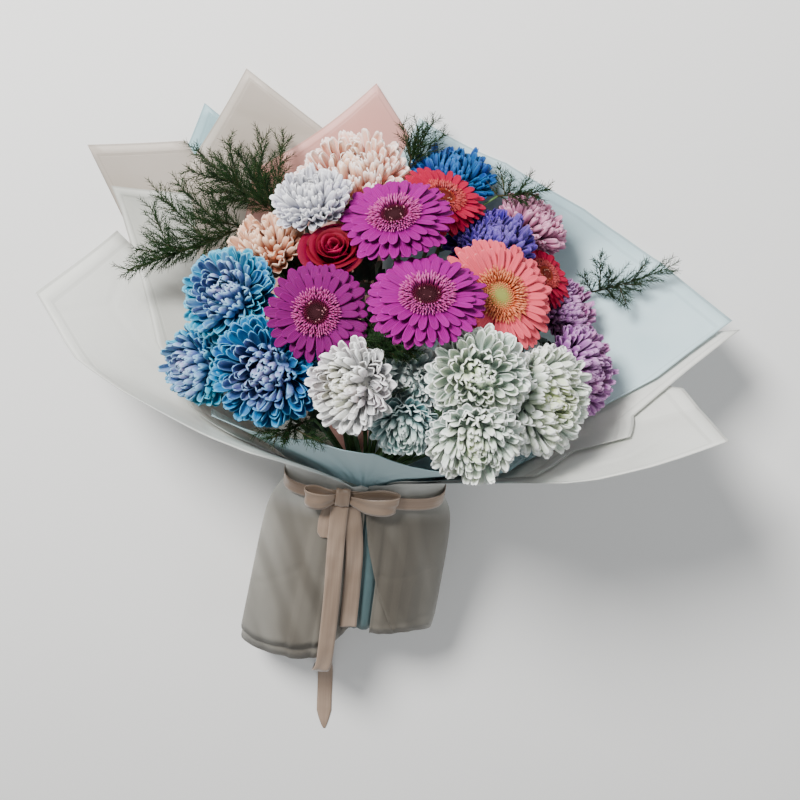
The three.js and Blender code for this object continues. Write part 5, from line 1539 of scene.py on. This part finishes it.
def paper_finish(name, colour, deep, through):
    """Matt film: a faint mottling, creases, a hem line and a darker edge. Below the ribbon several layers
    lie over the stems; there the tone turns to the colour through, which is mostly painted shade, deepest
    in the handle's middle and in diagonal bands like fold lines, and only in part the stems seen through."""
    s = Shades(name, Roughness=0.5, Subsurface_Weight=0.18, Subsurface_Scale=0.01,
               Subsurface_Radius=(1.0, 1.0, 1.0), Specular_IOR_Level=0.3)
    _, v = s.own()
    cloud = s.noise(s.here(), 7, 3)
    tone = s.mix(s.grey(cloud, 0.35, 0.7), colour, deep)
    split = s.node("ShaderNodeSeparateXYZ", {0: s.here()})
    low = s.math("MULTIPLY_ADD", s.noise(s.here(), 11, 2), 0.05, split.outputs[1])
    inner = s.grey(s.math("ABSOLUTE", s.math("ADD", split.outputs[0], 0.01)), 0.115, 0.05)
    # painted shade on the handle below the ribbon, deeper in its middle; only in part the stems showing
    # through
    handle_shade = s.math("MULTIPLY", s.grey(low, 0.055, 0.0), s.math("MULTIPLY_ADD", inner, 0.22, 0.62))
    tone = s.mix(handle_shade, tone, through)
    across = s.math("MULTIPLY_ADD", split.outputs[1], 0.35, split.outputs[0])
    # painted shade in diagonal bands like fold lines on the handle
    fold_shade = s.grey(s.noise(s.stretched(across, split.outputs[1], 24, 4), 1.0, 1), 0.44, 0.60)
    tone = s.tinge(s.math("MULTIPLY", fold_shade, handle_shade), 0.5, tone, tuple(0.4 * c for c in through))
    line = s.math("MULTIPLY", s.grey(v, 0.0095, 0.0085), s.grey(v, 0.0065, 0.0075))
    tone = s.tinge(line, 0.25, tone, tuple(0.6 * c for c in deep))
    tone = s.tinge(s.grey(v, 0.0018, 0.0010), 0.5, tone, tuple(0.5 * c for c in deep))
    fine = s.math("MULTIPLY", s.noise(s.here(), 220, 4, 0.6), 0.6)
    height = s.math("MULTIPLY_ADD", line, -0.9, fine)
    cells = s.node("ShaderNodeTexVoronoi", {"Vector": s.here(), "Scale": 7.0}, feature="DISTANCE_TO_EDGE")
    crease = s.grey(cells.outputs["Distance"], 0.0, 0.06)
    height = s.math("MULTIPLY_ADD", crease, 1.6, height)
    height = s.math("MULTIPLY_ADD", s.noise(s.here(), 15, 1), 5.0, height)
    return s.finish(tone, height=height, bump=0.22, distance=0.001)


# The last colour of each paper is the painted shade on the handle below the ribbon.
mint_paper = paper_finish("mint_paper", (0.44, 0.64, 0.69), (0.34, 0.54, 0.60), (0.020, 0.048, 0.048))
# a lighter copy of the mint paper: painted light on the right sheet
lit_mint_paper = paper_finish("lit_mint_paper", (0.53, 0.71, 0.76), (0.41, 0.60, 0.66),
                               (0.020, 0.048, 0.048))
white_paper = paper_finish("white_paper", (0.57, 0.58, 0.54), (0.46, 0.47, 0.43), (0.10, 0.078, 0.052))
# a lighter copy of the white paper: painted light on the sheets that take more light
lit_white_paper = paper_finish("lit_white_paper", (0.70, 0.71, 0.67), (0.58, 0.59, 0.55), (0.10, 0.078, 0.052))
warm_paper = paper_finish("warm_paper", (0.54, 0.48, 0.42), (0.46, 0.40, 0.34), (0.10, 0.076, 0.050))
blush_paper = paper_finish("blush_paper", (0.74, 0.385, 0.335), (0.66, 0.33, 0.28), (0.2, 0.13, 0.10))
PAPERS = {
    "sheet_mint_front": (mint_paper, "paper_mint"),
    "sheet_mint_right": (lit_mint_paper, "paper_mint"),
    "sheet_mint_tip": (mint_paper, "paper_mint"),
    "sheet_pink_back": (blush_paper, "paper_blush"),
    "sheet_white_back": (warm_paper, "paper_white"),
    "sheet_white_low_right": (lit_white_paper, "paper_white"),
    "sheet_white_right": (lit_white_paper, "paper_white"),
    "sheet_white_left_inner": (white_paper, "paper_white"),
    "sheet_white_left_front": (lit_white_paper, "paper_white"),
    "sheet_white_left_outer": (warm_paper, "paper_white"),
}
CURLS = {"sheet_white_left_front": (282, 352, 7.0)}  # from, to, and how far out the rim rolls
for name, (finish, slot) in PAPERS.items():
    sheet = paper_sheet(name, CURLS.get(name))
    sheet.data.materials.append(finish)
    settle(sheet, name)

# %% [markdown]
# ## The ribbon
#
# One satin ribbon, sold as 25 mm wide and 24 mm across, goes round the papers, is tied in a
# small bow and leaves three tails. It is made as seven strips of cloth, each along its own
# middle line, and it is narrower where it is gathered or curled.

# %% Ribbon paths
RIBBON, RIBBON_THICK, STRIP_CELLS = 24 * MM, 0.45 * MM, 6
KNOT_AZIMUTH = -40.0
KNOT_LIFT = PAPER / 2 + 1.2  # from the outermost paper's middle to the knot's foot
ALL_SHEETS = crossing(lambda layer: True)


def wrap_corner(fold, lift):
    """A point at a fold, on the outside of all the papers at the binding."""
    out = LAYER_STEP * (float(np.interp(fold % 360, FOLDS, ALL_SHEETS)) - 1) + lift
    a, b = WAIST_WIDTH + out, WAIST_DEPTH + out
    turn = math.radians(fold)
    reach = a * b / math.hypot(b * math.sin(turn), a * math.cos(turn))
    return BINDING + (SIDE * math.sin(turn) + FRONT * math.cos(turn)) * (reach * MM)


knot_foot = wrap_corner(KNOT_AZIMUTH % 360, KNOT_LIFT)  # the knot is at a fold


def knot_place(right, up, out):
    """A point by the knot, in millimetres from its foot."""
    return knot_foot + SIDE * (right * MM) + AXIS * (up * MM) + FRONT * (out * MM)


def smooth_path(points, count, closed=False):
    """More points on a smooth curve through these."""
    points = np.array(points, dtype=float)
    n = len(points)
    result = []
    spans = n if closed else n - 1
    for k in range(count):
        t = k * spans / (count if closed else count - 1)
        i = min(int(t), spans - 1)
        f = t - i
        if closed:
            p0, p1, p2, p3 = (points[(i + j) % n] for j in (-1, 0, 1, 2))
        else:
            p0, p1, p2, p3 = (points[min(max(i + j, 0), n - 1)] for j in (-1, 0, 1, 2))
        result.append(0.5 * (2 * p1 + (p2 - p0) * f + (2 * p0 - 5 * p1 + 4 * p2 - p3) * f * f
                             + (3 * p1 - p0 - 3 * p2 + p3) * f ** 3))
    return np.array(result)


def ribbon_strip(name, middles, acrosses, widths, closed=False, wave=0.0):
    """A strip of cloth along its middle line, with a little wave across it where it is off the
    table. Also hands back its flat length and its area."""
    middles = np.array(middles)
    count = len(middles)
    before, after = np.roll(middles, 1, axis=0), np.roll(middles, -1, axis=0)
    if not closed:
        before[0], after[-1] = middles[0], middles[-1]
    way = unit_rows(after - before)
    across = np.array(acrosses)
    across = unit_rows(across - way * (across * way).sum(1)[:, None])
    out = np.cross(across, way)
    steps = np.linspace(-0.5, 0.5, STRIP_CELLS + 1)
    rows = []
    for i in range(count):
        wave_here = wave if middles[i][2] > 4 * MM else 0.0
        bend = wave_here * np.sin(steps * 9 + i * 0.21) * np.cos(steps * 2.2)
        rows.append(middles[i] + np.outer(steps * widths[i], across[i]) + np.outer(bend, out[i]))
    faces = []
    for i in range(count if closed else count - 1):
        for j in range(STRIP_CELLS):
            a, b = i * (STRIP_CELLS + 1) + j, ((i + 1) % count) * (STRIP_CELLS + 1) + j
            faces.append((a, a + 1, b + 1, b))
    lengths = np.concatenate([[0], np.cumsum(np.linalg.norm(np.diff(middles, axis=0), axis=1))])
    own = np.stack(np.meshgrid(lengths, steps + 0.5, indexing="ij"), axis=-1)
    strip = sheet_from_grid(name, np.array(rows), faces, own, RIBBON_THICK)
    bpy.ops.object.mode_set(mode="EDIT")
    bpy.ops.mesh.select_all(action="SELECT")
    bpy.ops.mesh.normals_make_consistent(inside=False)
    bpy.ops.object.mode_set(mode="OBJECT")
    area = sum(face.area for face in strip.data.polygons) / 2
    total = lengths[-1] + (np.linalg.norm(middles[0] - middles[-1]) if closed else 0)
    print(name, "long", round(float(total), 4), "area", round(area, 5))
    return strip, float(total), area


# %% Ribbon finish
def ribbon_finish():
    s = Shades("satin_ribbon", Roughness=0.36, Anisotropic=0.4, Sheen_Weight=0.3, Sheen_Roughness=0.4,
               Specular_IOR_Level=0.5)
    u, v = s.own()
    cloud = s.noise(s.here(), 18, 2)
    tone = s.mix(s.grey(cloud, 0.35, 0.65), (0.285, 0.202, 0.145), (0.37, 0.268, 0.20))
    tone = s.tinge(s.grey(s.from_middle(v), 0.88, 0.95), 0.45, tone, (0.46, 0.35, 0.28))
    streak = s.noise(s.stretched(u, v, 5, 34), 1.0, 3)
    tone = s.tinge(s.grey(streak, 0.42, 0.7), 0.45, tone, (0.19, 0.12, 0.082))
    weft = s.math("SINE", s.math("MULTIPLY", u, 9000.0))
    fine = s.noise(s.stretched(u, v, 400, 30), 1.0, 2)
    return s.finish(tone, height=s.math("MULTIPLY_ADD", weft, 0.3, fine), bump=0.15, distance=0.0002)


satin = ribbon_finish()


def ribbon_piece(node, strip):
    strip.data.materials.append(satin)
    return settle(strip, node)


# %% [markdown]
# The band goes once round the papers. The knot is a short fold of ribbon over it, and the
# loops come out of the knot to both sides and stand on their edges.

# %% Band, knot and loops
def outside_radius(azimuth):
    """How far out the outermost paper is at the binding."""
    return max(
        float(paper_radius(azimuth, np.array(0.0), layer))
        for layer, top, _ in SHEETS.values()
        if any(top[0][0] - 3 <= azimuth + whole <= top[-1][0] + 3 for whole in WHOLE_TURNS)
    )


BAND_WIDTH, BAND_LIFT, KNOT_WIDTH, KNOT_POINTS, LOOP_POINTS = 17 * MM, 0.95, 15 * MM, 40, 48
BAND_AZIMUTHS = np.arange(0, 360, 4)
around = np.array([outside_radius(azimuth) for azimuth in BAND_AZIMUTHS.tolist()])
widest = np.max([np.roll(around, k) for k in (-2, -1, 0, 1, 2)], axis=0)
eased = sum(np.roll(widest, k) for k in (-1, 0, 1)) / 3
band_count = len(BAND_AZIMUTHS)
band_middle = around_axis(BAND_AZIMUTHS, np.zeros(band_count), eased + BAND_LIFT)
strip, length, area = ribbon_strip(
    "ribbon_band_cloth", band_middle, [np.array(AXIS)] * band_count, [BAND_WIDTH] * band_count,
    closed=True, wave=0.25 * MM)
ribbon_piece("ribbon_band", strip)

# The knot's outline, up and out from its foot
KNOT = [(-11, 3), (-11.5, 6), (-8, 9), (0, 10), (8, 9), (11.5, 6), (11, 3), (0, 1.8)]
KNOT_SINK = 0.7
knot_middle = smooth_path(
    [np.array(knot_place(0, up, out - KNOT_SINK)) for up, out in KNOT], KNOT_POINTS, closed=True
)
strip, length, area = ribbon_strip(
    "ribbon_knot_cloth", knot_middle, [np.array(SIDE)] * KNOT_POINTS, [KNOT_WIDTH] * KNOT_POINTS,
    closed=True, wave=0.7 * MM)
ribbon_piece("ribbon_knot", strip)

# A loop's outline, out to its side and up from the papers, as parts of its length and height
LOOP = [(0.18, 0.22), (0.5, 0.85), (0.82, 0.95), (1, 0.68), (0.97, 0.34), (0.75, 0.12), (0.4, 0.08),
        (0.18, 0.03)]
LOOP_START = 0.18


def ribbon_loop(name, node, side, long, tall, tilt):
    middles, acrosses, widths = [], [], []
    for out, up in LOOP:
        right = side * (6.2 + (out - LOOP_START) * long)
        middles.append(np.array(knot_place(right, tilt * (out - LOOP_START) * 10, up * tall + 2.5)))
        acrosses.append(np.array(AXIS + SIDE * (tilt * side * 0.2)))
        widths.append((10 + 14 * min(1, (out - LOOP_START) * 2.2)) * MM)
    middles = smooth_path(middles, LOOP_POINTS, closed=True)
    acrosses = smooth_path(acrosses, LOOP_POINTS, closed=True)
    widths = smooth_path(np.array(widths)[:, None], LOOP_POINTS, closed=True)[:, 0]
    strip, length, area = ribbon_strip(name, middles, acrosses, widths, closed=True, wave=0.9 * MM)
    return ribbon_piece(node, strip)


ribbon_loop("ribbon_loop_left_cloth", "ribbon_loop_left", -1, 40, 15, 0.4)
ribbon_loop("ribbon_loop_right_cloth", "ribbon_loop_right", 1, 62, 17, 0.8)

# %% [markdown]
# The tails lie on the front of the handle, one above the other. A track's rows are how far
# below the binding a tail is, and its azimuth. The long tail runs past the handle's end and
# is laid on the table, through places given from the point on the table below the binding.


# %% Tails
TAIL_LAYER = 5  # the outermost sheet at the front


def on_handle(azimuth, along):
    """A point on the outermost sheet below the binding."""
    along = np.array(-along)
    return around_axis(np.array(azimuth), along, paper_radius(azimuth, along, TAIL_LAYER))


def tail_track(track, lift):
    places, acrosses = [], []
    for along, azimuth in track:
        here, left, right = (on_handle(azimuth + turn, along) for turn in (0, -9, 9))
        across = unit(right - left)
        out = unit(np.cross(across, here - on_handle(azimuth, along + 2.0)))
        places.append(here + out * lift * MM)
        acrosses.append(across)
    return places, acrosses


TAIL_MIDDLE = [(13.4, -26), (40, -14), (80, -5), (130, 0), (196, 3)]
TAIL_SHORT = [(13.4, -50), (34, -50), (58, -47)]
TAIL_LONG = [(14.2, -42), (45, -36), (90, -32), (150, -28), (244, -25)]
TAIL_LAID = [(-24, -274, 92), (-21, -298, 46), (-18, -318, 14), (-15, -342, 1.6), (-11, -400, 0.6),
             (-8, -431, 0.6)]
WAIST_FOOT = Vector((BINDING.x, BINDING.y, 0))  # below the binding, on the table
TAIL_POINTS = 16  # between two of its places


def tail(name, node, track, lift, laid=(), wide=0.8, ends=(1.0,)):
    """ends: how the width runs out over the last points."""
    places, acrosses = tail_track(track, lift)
    for place in laid:
        places.append(np.array(Vector(place) * MM + WAIST_FOOT))
        acrosses.append(np.array(SIDE))
    count = TAIL_POINTS * (len(places) - 1)
    middles = smooth_path(places, count)
    acrosses = smooth_path(acrosses, count)
    widths = np.full(count, RIBBON * wide)
    widths[-len(ends):] *= np.array(ends)
    strip, length, area = ribbon_strip(name, middles, acrosses, widths, wave=0.5 * MM)
    return ribbon_piece(
        node, strip
    )


tail("ribbon_tail_long_cloth", "ribbon_tail_long", TAIL_LONG, 5.9, TAIL_LAID, 0.78,
     np.linspace(1, 0.12, 16))
tail("ribbon_tail_middle_cloth", "ribbon_tail_middle", TAIL_MIDDLE, 3.6)
tail("ribbon_tail_short_cloth", "ribbon_tail_short", TAIL_SHORT, 2.1, (), 0.7, np.linspace(1, 0.6, 6))

# %% [markdown]
# ## The raffia tie
#
# Inside the papers, a strand of raffia holds the stems. Its solid has the right shape, so it
# keeps it and gets a fibrous straw finish.


# %% Raffia
def raffia_finish():
    s = Shades("raffia", Roughness=0.6)
    drawn_out = s.node("ShaderNodeMapping", {"Vector": s.here(), "Scale": (30, 900, 900)})
    fibre = s.noise(drawn_out.outputs[0], 1.0, 3)
    tone = s.mix(fibre, (0.36, 0.26, 0.12), (0.62, 0.50, 0.28))
    return s.finish(tone, height=fibre, bump=0.4)


raffia = raffia_finish()
for material_slot in frame["nodes"]["stem_tie"].material_slots:
    material_slot.material = raffia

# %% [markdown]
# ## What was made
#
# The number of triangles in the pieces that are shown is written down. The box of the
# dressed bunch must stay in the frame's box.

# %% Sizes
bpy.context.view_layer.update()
triangles = sum(
    sum(len(face.vertices) - 2 for face in o.data.polygons)
    for o in bpy.data.objects if o.type == "MESH" and not o.hide_render
)
print("triangles", triangles)
